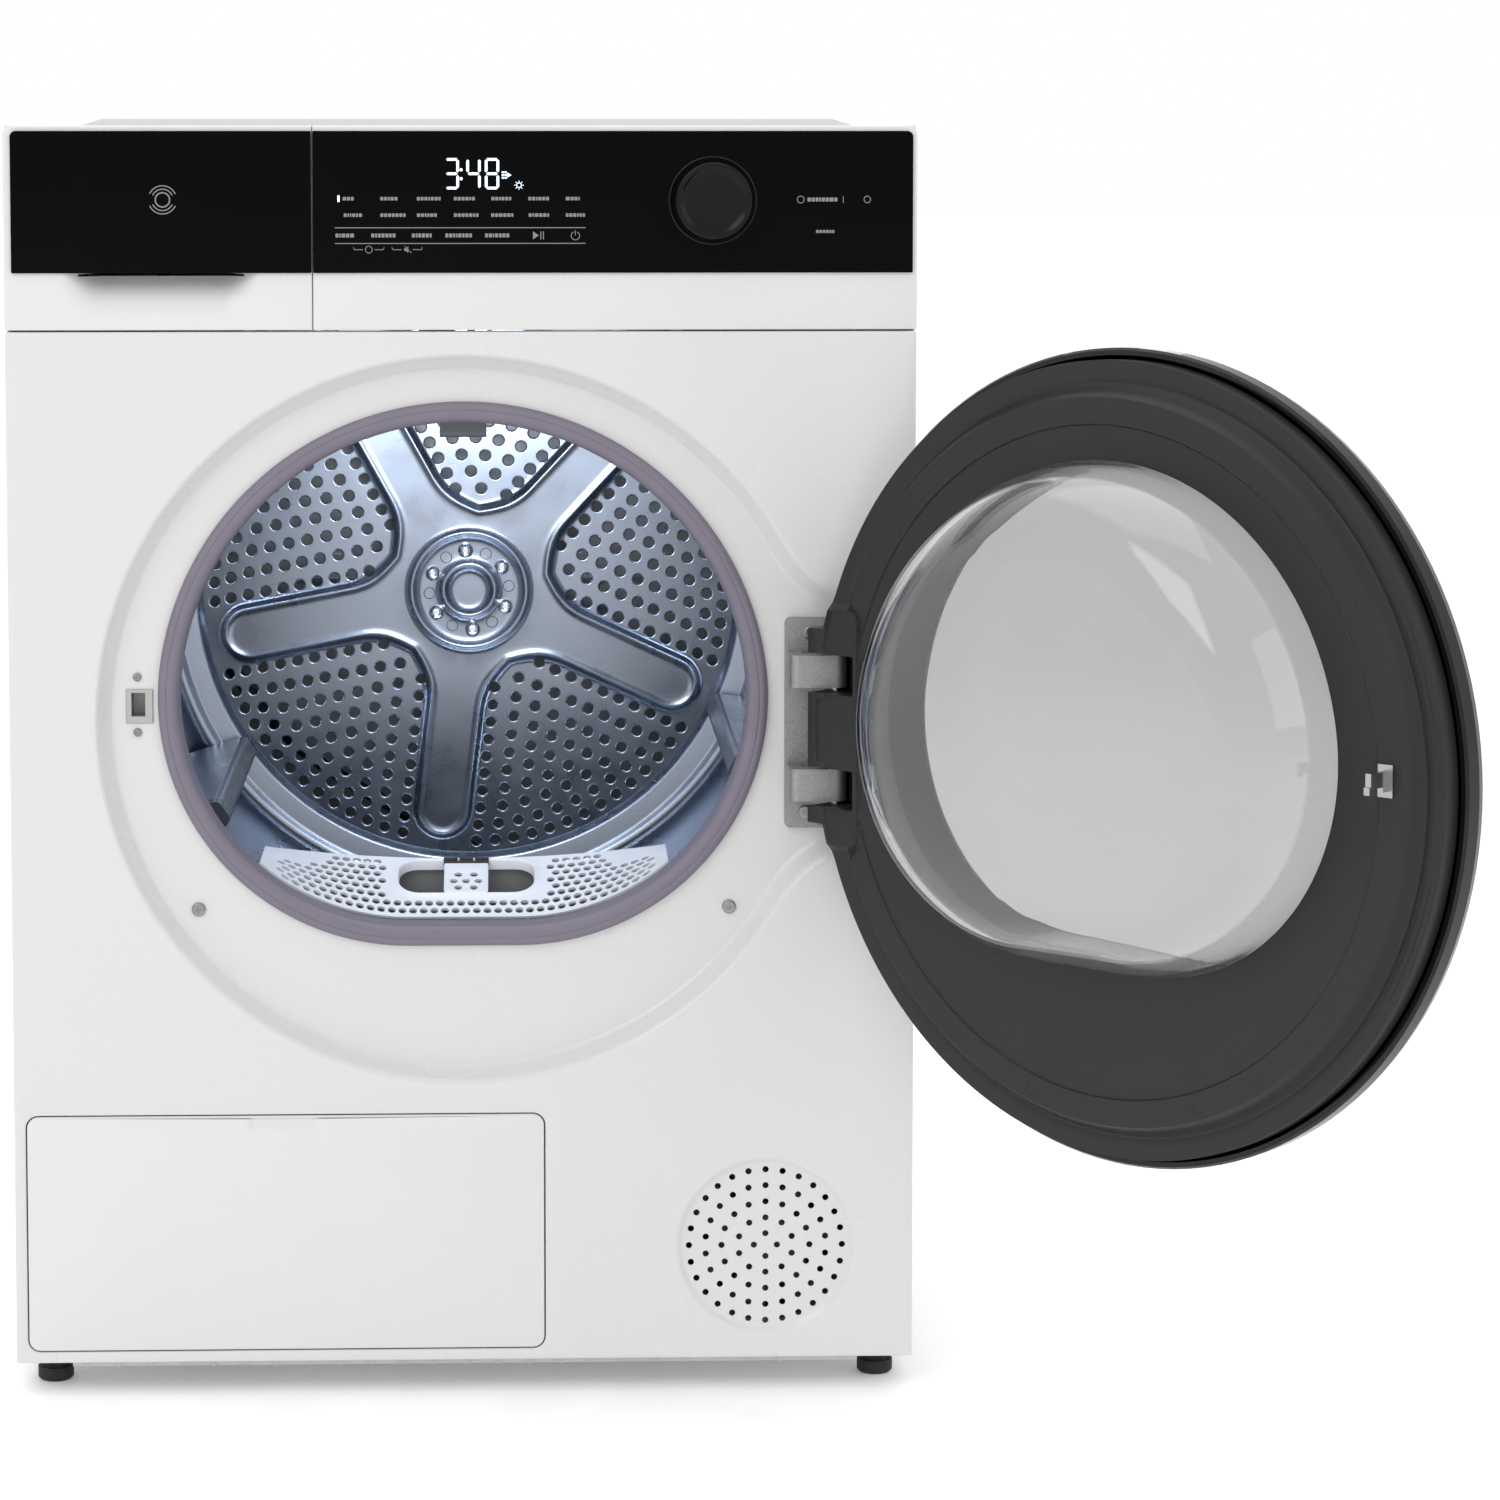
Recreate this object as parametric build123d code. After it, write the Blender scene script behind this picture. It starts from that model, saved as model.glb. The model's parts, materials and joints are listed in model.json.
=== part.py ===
from build123d import *
import os
from math import atan2, cos, radians, sin, sqrt, tan

# Heat-pump clothes dryer, door open.  Millimetres, +Z up, the front faces -Y.
# Everything is built in cabinet coordinates: X = 0 on the cabinet's centre line,
# Y = 0 on the front sheet, Z = 0 on the floor.  Each solid is moved at the very end, so that
# the origin lies on the floor under the middle of the whole machine with its door open.
ORIGIN_X = 149.6
ORIGIN_Y = 107.9

# ---- driving dimensions ---------------------------------------------------------------
CABINET_HALF_W = 297.5
CABINET_D = 600.0
CABINET_H = 840.0
SHEET = 1.0                  # pressed steel sheet
FRONT_DEPTH = 14.5           # depth of the folded front parts; sides and top start behind
SIDE_START = 15.0
GAP = 0.5                    # joint line between neighbouring outer parts
FRONT_BOTTOM = 21.8
FASCIA_Z = 706.6             # joint line between the front sheet and the fascia
SIDE_BOTTOM = 20.0
SIDE_TOP = 817.5
REAR_Y = 588.0               # inner face of the rear sheet
TANK_SPLIT_X = -97.2         # joint line between the tank drawer and the fascia

DOOR_Z = 449.8               # centre of the round door and of its recess
DOOR_R = 254.5
RECESS_R = 241.6
RECESS_FLOOR_R = 231.0
RECESS_DEPTH = 14.0
HINGE_X = 244.0              # vertical hinge axis
HINGE_Y = -18.0
DOOR_OPEN_DEG = 133.5
HINGE_BAY = (205.0, 258.0, 363.0, 531.0)     # recess around the hinge: x0, x1, z0, z1
ARM_SPANS = ((399.3, 420.4), (474.0, 495.3))  # heights of the two hinge arms
PIN_R = 3.0
RUNNING = 0.05               # radial clearance of a shaft in its hole

OPENING_Z = 458.0            # centre of the loading opening
SEAL_R = 201.6               # outer outline of the opening seal
SEAL_SILL = 159.5            # flat sill below the centre
SEAL_CORNER_R = 165.0
SEAL_W = 13.8

DRUM_Z = 486.0
DRUM_R = 276.0               # inside radius
DRUM_Y = (104.0, 520.0)
REAR_PLATE_Y = 510.0
SHAFT_R = 10.0

MOTOR_X, MOTOR_Z = 212.0, 160.0
PULLEY_R = 8.0
BELT_T = 2.5
BELT_Y = (276.0, 284.0)
ROLLER_R = 30.0
ROLLER_X = 150.0
AXLE_R = 5.0
IDLER_R = 20.0
ROLLER_REACH = DRUM_R + SHEET + 0.3 + ROLLER_R
ROLLER_Z = DRUM_Z - sqrt(ROLLER_REACH ** 2 - ROLLER_X ** 2)

HOUSING = (-288.0, 50.0, 32.0, 556.0, 24.5, 178.0)   # heat exchanger box: x, y and z limits
LOCK_XS = (-280.0, 42.0)     # quarter-turn locks of its cover
LOCK_Z = 112.0

KNOB_X, KNOB_Z = 163.6, 791.4
VENT_X, VENT_Z, VENT_R = 199.6, 97.5, 58.4
VENT_RINGS = ((7.7, 4), (18.4, 10), (29.3, 16), (40.2, 22), (51.0, 28))   # radius, holes
FLAP = (-289.1, 52.4, 30.1, 187.5)           # service flap: x0, x1, z0, z1
FLAP_AXIS_Y, FLAP_AXIS_Z = 3.4, 39.0
FOOT_X = 276.0
FOOT_YS = (45.0, 555.0)
TANK_X = (-288.5, -111.5)
TANK_Z = (749.8, 808.0)


# front screws: x, z, depth of the surface under the head, head radius
SCREWS = (
    (-175.5, 323.5, RECESS_DEPTH, 4.6),
    (175.5, 323.5, RECESS_DEPTH, 4.6),
    (228.7, 506.7, 9.0, 4.6),
    (225.8, 387.4, 9.0, 4.6),
    (-214.6, 441.7, RECESS_DEPTH, 2.8),
    (-214.6, 478.3, RECESS_DEPTH, 2.8),
)


# ---- small helpers ----------------------------------------------------------------------
def block(x0, x1, y0, y1, z0, z1):
    """Box between two corners."""
    centre = Pos((x0 + x1) / 2, (y0 + y1) / 2, (z0 + z1) / 2)
    return centre * Box(x1 - x0, y1 - y0, z1 - z0)


def plate(face, y0, y1):
    """Prism of a front-view face (X across, Z up) between two depths."""
    return extrude(Plane.XZ.offset(-y1) * face, amount=y1 - y0)


def rod(x, z, y0, y1, radius):
    """Cylinder along Y."""
    return plate(Pos(x, z) * Circle(radius), y0, y1)


def bar(y, z, x0, x1, radius):
    """Cylinder along X."""
    return Pos((x0 + x1) / 2, y, z) * Rot(0, 90, 0) * Cylinder(radius, x1 - x0)


def post(x, y, z0, z1, radius):
    """Cylinder along Z."""
    return Pos(x, y, (z0 + z1) / 2) * Cylinder(radius, z1 - z0)


def rounded(x0, x1, z0, z1, radius):
    """Rounded rectangle in the front view."""
    return Pos((x0 + x1) / 2, (z0 + z1) / 2) * RectangleRounded(x1 - x0, z1 - z0, radius)


def turned(points, x, z):
    """Solid of revolution about an axis along Y; points are (radius, y)."""
    face = make_face(Polyline(*points, close=True))
    return Pos(x, 0, z) * revolve(face, Axis.Y)


def fused(parts):
    """One solid out of touching or overlapping ones."""
    parts = list(parts)
    return parts[0].fuse(*parts[1:]) if len(parts) > 1 else parts[0]


def opening_outline(inset):
    """Round outline with a flattened sill, set in from the seal's outer edge."""
    radius = SEAL_R - inset
    corner = SEAL_CORNER_R - inset
    sill = SEAL_SILL - inset
    up = corner - sill
    side = sqrt((radius - corner) ** 2 - up ** 2)
    tangent = atan2(up, side)
    middle = (tangent - radians(90)) / 2
    right = (radius * cos(tangent), radius * sin(tangent))
    knee = (side + corner * cos(middle), up + corner * sin(middle))
    lines = [
        ThreePointArc(right, (0, radius), (-right[0], right[1])),
        ThreePointArc((-right[0], right[1]), (-knee[0], knee[1]), (-side, -sill)),
        Line((-side, -sill), (side, -sill)),
        ThreePointArc((side, -sill), knee, right),
    ]
    return Pos(0, OPENING_Z) * make_face(lines)


def tube(points, radius):
    """Bent tube: straight runs joined by arcs as large as the runs allow."""
    vectors = [Vector(*p) for p in points]
    radii = []
    for before, here, after in zip(vectors, vectors[1:], vectors[2:]):
        turn = radians((here - before).get_angle(after - here))
        shorter = min((here - before).length, (after - here).length)
        radii.append(0.45 * shorter / tan(turn / 2))
    path = FilletPolyline(*points, radius=radii)
    start = Plane(origin=path @ 0, z_dir=path % 0)
    return sweep(start * Circle(radius), path)


# ---- cabinet ------------------------------------------------------------------------------
def left_side_panel():
    x = -CABINET_HALF_W
    depth, length, height = 2.0, 440.0, 640.0
    skin = block(x, x + SHEET, SIDE_START, REAR_Y, SIDE_BOTTOM, SIDE_TOP)
    rear_fold = block(x, x + 14, REAR_Y - SHEET, REAR_Y, SIDE_BOTTOM + 6, SIDE_TOP)
    bottom_fold = block(x, x + 13.5, SIDE_START + 2, REAR_Y, SIDE_BOTTOM, SIDE_BOTTOM + SHEET)
    top_fold = block(x, x + 12, SIDE_START, REAR_Y, SIDE_TOP - SHEET, SIDE_TOP)
    field = Plane.YZ * Pos(302, 420) * RectangleRounded(length, height, 40)
    pressing = extrude(field, amount=depth, taper=45)
    panel = fused([skin, rear_fold, bottom_fold, top_fold, Pos(x + SHEET, 0, 0) * pressing])
    return panel - Pos(x, 0, 0) * pressing


def right_side_panel():
    return mirror(left_side_panel(), Plane.YZ)


def rear_panel():
    edge = CABINET_HALF_W - SHEET - 0.2
    sheet = block(-edge, edge, REAR_Y, REAR_Y + SHEET, 26, SIDE_TOP)
    duct_hole = rod(0, DRUM_Z, REAR_Y - 1, REAR_Y + 2, 170) - rod(0, DRUM_Z, REAR_Y - 1, REAR_Y + 2, 62)
    web = block(-180, 180, REAR_Y - 1, REAR_Y + 2, DRUM_Z - 22, DRUM_Z + 22)
    air_hole = block(154, 256, REAR_Y - 1, REAR_Y + 2, 124, 186)
    cord_hole = rod(-235, 770, REAR_Y - 1, REAR_Y + 2, 10.2)
    louvres = [
        block(x - 22, x + 22, REAR_Y - 1, REAR_Y + 2, z, z + 4)
        for x in (-240, -185, -130)
        for z in range(60, 151, 15)
    ]
    return sheet - fused([duct_hole - web, air_hole, cord_hole] + louvres)


def rear_duct_cover():
    y0, y1 = REAR_Y + SHEET, CABINET_D
    cover = rod(0, DRUM_Z, y0, y1, 205) + block(118, 292, y0, y1, 96, 340)
    hollow = rod(0, DRUM_Z, y0, y1 - SHEET, 203) + block(120, 290, y0, y1 - SHEET, 98, 338)
    rim = rod(0, DRUM_Z, y0, y0 + SHEET, 215) + block(108, 296, y0, y0 + SHEET, 86, 350)
    return (cover + rim) - hollow


def worktop():
    x = CABINET_HALF_W
    top = block(-x, x, SIDE_START, CABINET_D, SIDE_TOP + GAP, CABINET_H)
    hollow = block(-x + 4, x - 4, SIDE_START + 4, CABINET_D - 4, SIDE_TOP - 1, CABINET_H - 4)
    ribs = [block(-x + 4, x - 4, y, y + 2, SIDE_TOP + 6, CABINET_H - 4) for y in (150, 300, 450)]
    lip_ends = [(-x, CABINET_H), (-x + 16, CABINET_H + 5), (x - 16, CABINET_H + 5), (x, CABINET_H)]
    lip = plate(make_face(Polyline(*lip_ends, close=True)), CABINET_D - 36, CABINET_D)
    return fused([top - hollow, lip] + ribs)


def bay_face(grow=0.0):
    x0, x1, z0, z1 = HINGE_BAY
    return rounded(x0 - grow, x1 + grow, z0 - grow, z1 + grow, 14 + grow)


def vent_holes():
    holes = []
    for radius, count in VENT_RINGS:
        for k in range(count):
            turn = radians(90 + 360 * k / count)
            holes.append(rod(VENT_X + radius * cos(turn), VENT_Z + radius * sin(turn), -1, 6, 2.15))
    return holes


def front_panel():
    x, t = CABINET_HALF_W, SHEET
    top = FASCIA_Z - GAP
    skin = block(-x, x, 0, t, FRONT_BOTTOM, top)
    folds = [
        block(-x, -x + t, 0, FRONT_DEPTH, FRONT_BOTTOM, top),
        block(x - t, x, 0, FRONT_DEPTH, FRONT_BOTTOM, top),
        block(-x, x, 0, FRONT_DEPTH, FRONT_BOTTOM, FRONT_BOTTOM + t),
        block(-x, x, 0, FRONT_DEPTH, top - t, top),
    ]
    r0, r1, depth = RECESS_R, RECESS_FLOOR_R, RECESS_DEPTH
    wall_profile = [
        (r0, 0), (r0 + 2, 0), (r0 + 2, t), (r1 + 1.5, depth + t), (0, depth + t), (0, depth), (r1, depth),
    ]
    wall = turned(wall_profile, 0, DOOR_Z)
    bay_wall = plate(bay_face(t) - bay_face(), 0, depth + t)
    bay_floor = plate(bay_face(t), depth, depth + t)
    dish = turned(
        [(VENT_R, 0), (VENT_R + 2, 0), (VENT_R + 2, t), (56, 3 + t), (0, 3 + t), (0, 3), (55, 3)],
        VENT_X, VENT_Z,
    )
    x0, x1, z0, z1 = FLAP
    gap = 0.8
    flap_hole = rounded(x0 - gap, x1 + gap, z0 - gap, z1 + gap, 8.4)
    rim_outline = rounded(x0 - gap - t, x1 + gap + t, z0 - gap - t, z1 + gap + t, 9.4)
    flap_rim = plate(rim_outline - flap_hole, 0, 10)

    skin = skin - rod(0, DOOR_Z, -1, t + 1, r0 + 1) - plate(bay_face(), -1, t + 1)
    skin = skin - rod(VENT_X, VENT_Z, -1, t + 1, VENT_R + 1)
    wall = wall - plate(bay_face(), -1, depth)
    bay_wall = bay_wall - rod(0, DOOR_Z, -1, depth, r1)
    panel = fused([skin, wall, bay_wall, bay_floor, dish, flap_rim] + folds)

    cuts = [
        plate(flap_hole, -1, 11),
        plate(opening_outline(3.0), -1, depth + t + 1),
        block(-220.6, -207.4, depth - 1, depth + t + 1, 450.6, 469.6),
        bar(FLAP_AXIS_Y, FLAP_AXIS_Z, x0 - 4, x1 + 4, 2 + RUNNING),
    ]
    cuts += [rod(sx, sz, depth - 1, depth + t + 1, 2.6) for sx, sz, _, _ in SCREWS]
    return panel - fused(cuts) - fused(vent_holes())


def base_tray():
    x, y0, y1 = 294.0, 17.0, 584.0
    floor = block(-x, x, y0, y1, 21, 24.5)
    rim = block(-x, x, y0, y1, 24.5, 44) - block(-x + 3, x - 3, y0 + 3, y1 - 3, 24, 45)
    skirt = block(-262, 262, y0, y0 + 3, 15.2, 21)
    ribs = [block(n * 21 - 0.7, n * 21 + 0.7, y0 - 2, y0, 15.2, 21) for n in range(-12, 13)]
    bosses = [post(sx * FOOT_X, y, 24.5, 44, 12) for sx in (-1, 1) for y in FOOT_YS]
    holes = [post(sx * FOOT_X, y, 20, 45, 5.0) for sx in (-1, 1) for y in FOOT_YS]
    return fused([floor, rim, skirt] + ribs + bosses) - fused(holes)


def levelling_feet():
    feet = []
    for sx in (-1, 1):
        for y in FOOT_YS:
            pad = Pos(sx * FOOT_X, y, 0) * extrude(Circle(12), amount=9)
            pad = chamfer(pad.edges().group_by(Axis.Z)[0], 2)
            nut = Pos(sx * FOOT_X, y, 9) * extrude(RegularPolygon(9, 6), amount=5)
            feet.append(fused([pad, nut, post(sx * FOOT_X, y, 14, 52, 4.9)]))
    return Compound(feet)


# ---- fascia and controls -------------------------------------------------------------------
def fascia_shell(x0, x1):
    """Moulded front cover: a front wall with four side walls behind it."""
    z0, z1 = FASCIA_Z + GAP, CABINET_H
    body = block(x0, x1, 0, FRONT_DEPTH, z0, z1)
    return body - block(x0 + 2.5, x1 - 2.5, 2.5, FRONT_DEPTH + 1, z0 + 2.5, z1 - 2.5)


def glass_panel(x0, x1):
    pane = block(x0, x1, -2.5, 0, 744.4, 836.6)
    return chamfer(pane.edges().group_by(Axis.Y)[0], 0.6)


def control_fascia():
    shell = fascia_shell(TANK_SPLIT_X + GAP / 2, CABINET_HALF_W)
    window = block(-14, 28, -1, 4, 796, 821)
    return shell - window - rod(KNOB_X, KNOB_Z, -1, 4, 3.6)


def control_glass():
    pane = glass_panel(TANK_SPLIT_X + GAP / 2 + 0.3, CABINET_HALF_W - 3)
    bezel = rod(KNOB_X, KNOB_Z, -3.6, -2.5, 28.8) - rod(KNOB_X, KNOB_Z, -4, -2.5, 27.8)
    return fused([pane, bezel]) - rod(KNOB_X, KNOB_Z, -4, 1, 3.6)


def display_module():
    case = block(-22, 36, 4.5, 10.5, 788, 830)
    screen = block(-13.5, 27.5, 0.1, 4.5, 796.5, 820.5)
    return fused([case, screen])


def control_board():
    board = block(-88, 286, 11.6, 13.2, 752, 834)
    encoder = block(KNOB_X - 7, KNOB_X + 7, 5, 11.6, KNOB_Z - 7, KNOB_Z + 7)
    socket = rod(KNOB_X, KNOB_Z, 4, 12, 3 + RUNNING)
    chips = [block(x, x + 12, 9, 11.6, 765, 777) for x in (60, 95, 210)]
    return fused([board, encoder] + chips) - socket


def dial_knob():
    profile = [
        (0, -21.0), (18.5, -21.0), (21.0, -23.2), (24.4, -23.2), (25.4, -22.2), (27.0, -4.2),
        (26.6, -3.0), (0, -3.0),
    ]
    knob = turned(profile, KNOB_X, KNOB_Z)
    grooves = [
        rod(KNOB_X + 27.6 * cos(radians(7.5 * k)), KNOB_Z + 27.6 * sin(radians(7.5 * k)), -20, -2, 1.2)
        for k in range(48)
    ]
    shaft = rod(KNOB_X, KNOB_Z, -3, 11.2, 3)
    return fused([knob - fused(grooves), shaft])


# ---- loading opening -----------------------------------------------------------------------
def opening_seal():
    lip = plate(opening_outline(0) - opening_outline(SEAL_W), 8.6, RECESS_DEPTH)
    front = lip.edges().group_by(Axis.Y)[0]
    lip = fillet(front, 2.4)
    sleeve = plate(opening_outline(3.3) - opening_outline(SEAL_W), RECESS_DEPTH, 34)
    return fused([lip, sleeve])


def duct_outline_front(grow=0.0):
    """Front view of the filter duct: wide at the sill, narrow at the heat exchanger."""
    bottom = HOUSING[5] + 0.3
    points = [
        (-138 - grow, bottom), (48 + grow, bottom), (48 + grow, 240 - grow), (150 + grow, 300 - grow),
        (150 + grow, 362), (-150 - grow, 362), (-150 - grow, 262 - grow), (-138 - grow, 246 - grow),
    ]
    return make_face(Polyline(*points, close=True))


def front_bulkhead():
    wall = block(-285, 285, 37, 40, 205, 700) - plate(opening_outline(10.5), 36, 41)
    collar = rod(0, DRUM_Z, 40, 112, 258) - rod(0, DRUM_Z, 39, 113, 254)
    collar = collar - plate(duct_outline_front(0.4), 39, 113)
    ribs = []
    for turn in range(15, 360, 30):
        if turn not in (255, 285):
            rib = block(255, 276, 40, 60, -1.5, 1.5)
            ribs.append(Pos(0, 0, DRUM_Z) * Rot(0, -turn, 0) * rib)
    axles = [rod(sx * ROLLER_X, ROLLER_Z, 40, 132, AXLE_R) for sx in (-1, 1)]
    return fused([wall, collar] + ribs + axles)


def drum_lamp():
    housing = block(-17, 17, 40, 58, 646.2, 668)
    lens = block(-15.5, 15.5, 42, 64, 634, 646.2)
    lens = fillet(lens.edges().filter_by(Axis.X).group_by(Axis.Z)[0], 4)
    return fused([housing, lens])


def sill_height(x):
    """Height of the seal's inner edge at x, near the bottom of the opening."""
    corner = SEAL_CORNER_R - SEAL_W
    sill = SEAL_SILL - SEAL_W
    up = corner - sill
    side = sqrt((SEAL_R - SEAL_CORNER_R) ** 2 - up ** 2)
    run = max(0.0, abs(x) - side)
    return OPENING_Z + up - sqrt(corner ** 2 - run ** 2)


def grille_rear_height(x):
    return 343.0 + 10.0 * (x / 143.0) ** 2


def outlet_grille():
    """Perforated cover of the air outlet, falling from the drum to the seal."""
    t, y0, y1 = 2.0, 34.6, 100.0
    sections = []
    for k in range(-6, 7):
        x = k * 138.0 / 6
        front = sill_height(x) + 1.4
        rear = grille_rear_height(x)
        outline = [(y0, front), (y1, rear), (y1, rear - t), (y0, front - t)]
        sections.append(Plane.YZ.offset(x) * make_face(Polyline(*outline, close=True)))
    cover = loft(sections)
    slot = extrude(Pos(1, 77.5) * RectangleRounded(92, 38, 8), amount=600)
    return cover - slot


def filter_duct():
    side = make_face(Polyline((41, 170), (102.5, 170), (102.5, 339), (41, 310), close=True))
    outer = extrude(Plane.YZ.offset(-160) * side, amount=320) & plate(duct_outline_front(), 41, 102.5)
    inner_side = make_face(Polyline((43, 170), (100.5, 170), (100.5, 370), (43, 370), close=True))
    hollow = extrude(Plane.YZ.offset(-160) * inner_side, amount=320)
    hollow = hollow & plate(offset(duct_outline_front(), -2, kind=Kind.INTERSECTION), 41, 102.5)
    throat = block(-136, 46, 43, 100.5, 170, 230)
    mouth = block(-148, 148, 43, 100.5, 330, 372)
    return outer - hollow - throat - mouth


def filter_cassette():
    """Pull-out lint filter: a hollow frame with window bars, and a grip tab on top."""
    x0, x1, y0, y1, z0, z1 = -43.0, 45.0, 63.0, 93.0, 216.0, 318.0
    frame = block(x0, x1, y0, y1, z0, z1) - block(x0 + 2, x1 - 2, y0 + 2, y1 - 2, z0 + 2, z1 + 1)
    windows = [
        block(x, x + 24, y0 - 1, y1 + 1, z, z + 38)
        for x in (x0 + 6, x0 + 33, x0 + 60 - 2)
        for z in (z0 + 8, z0 + 54)
    ]
    stem = block(-13, 15, 74, 82, z1 - 6, 331)
    side = make_face(Polyline((60, 326.4), (95, 342.6), (95, 340.4), (60, 324.2), close=True))
    tab = extrude(Plane.YZ.offset(-14) * side, amount=30)
    bridge = block(x0, x1, 74, 82, z1 - 6, z1)
    return fused([frame - fused(windows), bridge, stem, tab])


def latch_catch():
    z0, z1 = 447.7, 470.3
    face = block(-222, -204.3, RECESS_DEPTH - 1.5, RECESS_DEPTH, z0, z1)
    face = chamfer(face.edges().group_by(Axis.Y)[0], 0.5)
    neck = block(-220.4, -207.6, RECESS_DEPTH, 15, 450.8, 469.4)
    housing = block(-224, -203, 15, 36, 445, 475)
    slot = block(-218.6, -209.4, 10, 33, 452.3, 468)
    return fused([face, neck, housing]) - slot


# ---- hinge and fasteners ----------------------------------------------------------------------
def hinge_bracket():
    plate_solid = plate(rounded(212, 244, 376.8, 516.6, 4), 9, RECESS_DEPTH)
    arms = []
    for z0, z1 in ARM_SPANS:
        leg = Pos(218, (10 + HINGE_Y - 7) / 2) * Rectangle(9, 17 - HINGE_Y)
        head = Pos((213.5 + HINGE_X) / 2, HINGE_Y) * Rectangle(HINGE_X - 213.5, 14)
        boss = Pos(HINGE_X, HINGE_Y) * Circle(7)
        shape = leg + head + boss
        outer = [v for v in shape.vertices() if v.X < 214 and v.Y < HINGE_Y]
        shape = fillet(outer, 6)
        arms.append(Pos(0, 0, z0) * extrude(shape, amount=z1 - z0))
    bores = [post(HINGE_X, HINGE_Y, z0 - 1, z1 + 1, PIN_R + RUNNING) for z0, z1 in ARM_SPANS]
    holes = [rod(x, z, 8, RECESS_DEPTH + 1, 2.6) for x, z, y, _ in SCREWS if y < RECESS_DEPTH]
    return fused([plate_solid] + arms) - fused(bores + holes)


def front_screws():
    screws = []
    for x, z, y, head_r in SCREWS:
        head = fillet(rod(x, z, y - 2.2, y, head_r).edges().group_by(Axis.Y)[0], 1.2)
        cross = block(x - 2, x + 2, y - 3, y - 1.2, z - 0.4, z + 0.4)
        cross = cross + block(x - 0.4, x + 0.4, y - 3, y - 1.2, z - 2, z + 2)
        screws.append(fused([head, rod(x, z, y, y + 14 - 8 * (head_r < 4), 2.2)]) - cross)
    return Compound(screws)


# ---- door, built closed and then swung open ------------------------------------------------------
def swung_open(solid):
    """Turn a door part about the hinge axis into its open rest position."""
    pivot = Pos(HINGE_X, HINGE_Y, 0)
    return pivot * Rot(0, 0, DOOR_OPEN_DEG) * Pos(-HINGE_X, -HINGE_Y, 0) * solid


def pin_carrier(gap=0.0):
    """Box in the side of the door that holds both hinge pins, or with a gap the notch for it."""
    return block(HINGE_X - 14 - gap, HINGE_X + 7 + gap, -26.6 - gap, 2 + gap, 386 - gap, 514 + gap)


def door_outer_ring():
    profile = [
        (196, -37.5), (214, -39.4), (236, -40), (247, -37.6), (252.6, -33), (254.5, -27), (254.5, -17),
        (253, -15), (250, -15), (250, -27), (246.5, -33.6), (236, -37), (205, -35.5), (204, -34.9),
        (196, -34.9),
    ]
    pockets = [arm_pocket(*span) for span in ARM_SPANS]
    return turned(profile, 0, DOOR_Z) - fused([pin_carrier(0.4)] + pockets)


def door_window():
    """Tinted front pane, slightly domed."""
    profile = [(0, -37.5), (90, -37), (150, -35.6), (194, -34.9), (203, -34.9), (203, -32), (0, -32)]
    return turned(profile, 0, DOOR_Z)


def arm_pocket(z0, z1):
    """Room in the door for one hinge arm over the whole swing."""
    return block(200, 270, HINGE_Y - 8.8, 20, z0 - 2.3, z1 + 2.3)


def door_inner_frame():
    profile = [
        (0, 6.8), (208, 6.8), (208, 8), (225, 8), (232, -3), (234, -4), (247.5, -4), (247.5, -16),
        (245, -16), (245, -6.5), (232.6, -6.5), (230, -5), (223.4, 5.5), (0, 4.3),
    ]
    shell = turned(profile, 0, DOOR_Z)
    wall = plate(opening_outline(20.5), -31.9, 6)
    hinge_zone = block(204, 260, 2, 20, 370, 529.6)
    hinge_block = block(206, 250, -33.6, 2, 372, 527.6) & rod(0, DOOR_Z, -34, 3, 246)
    hinge_block = hinge_block - rod(0, DOOR_Z, -34, 3, 204)
    frame = fused([shell - hinge_zone, wall, hinge_block, pin_carrier()])
    frame = frame - plate(opening_outline(23), -40, 10)
    cuts = [arm_pocket(*span) for span in ARM_SPANS]
    cuts += [post(HINGE_X, HINGE_Y, z0 - 10, z1 + 10, PIN_R) for z0, z1 in ARM_SPANS]
    return frame - fused(cuts)


def door_bowl():
    """Glass bowl that fills the opening and keeps the load off the seal."""
    wall = 4.0
    levels = ((6.8, 23.3), (34, 29), (58, 42), (71, 62))
    outer = loft([Plane.XZ.offset(-y) * opening_outline(inset) for y, inset in levels])
    inner_levels = [(6.7, 23.3 + wall)] + [(y - wall * 0.6, inset + wall) for y, inset in levels[1:]]
    inner = loft([Plane.XZ.offset(-y) * opening_outline(inset) for y, inset in inner_levels])
    sleeve = plate(opening_outline(23.3) - opening_outline(23.3 + wall), -28, 6.8)
    return fused([outer - inner, sleeve])


def door_hook():
    base = block(-219, -208.5, 8, 9.6, 450.4, 469.8)
    shank = block(-215.6, -211.6, 9.6, 26, 454, 466)
    beak = block(-215.6, -211.6, 21, 27.5, 453.4, 458)
    notch = block(-216, -211, 14, 21, 453, 457)
    return fused([base, shank - notch, beak])


def hinge_pins():
    return Compound([post(HINGE_X, HINGE_Y, z0 - 9, z1 + 9, PIN_R) for z0, z1 in ARM_SPANS])


# ---- drum ----------------------------------------------------------------------------------------
def drum_shell():
    y0, y1 = DRUM_Y
    skin = rod(0, DRUM_Z, y0, y1, DRUM_R + SHEET) - rod(0, DRUM_Z, y0 - 1, y1 + 1, DRUM_R)
    lip = rod(0, DRUM_Z, y0, y0 + SHEET, DRUM_R) - rod(0, DRUM_Z, y0 - 1, y0 + 2, 262)
    bead = rod(0, DRUM_Z, 300, 312, DRUM_R) - rod(0, DRUM_Z, 299, 313, DRUM_R - 1.5)
    return fused([skin, lip, bead])


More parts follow.
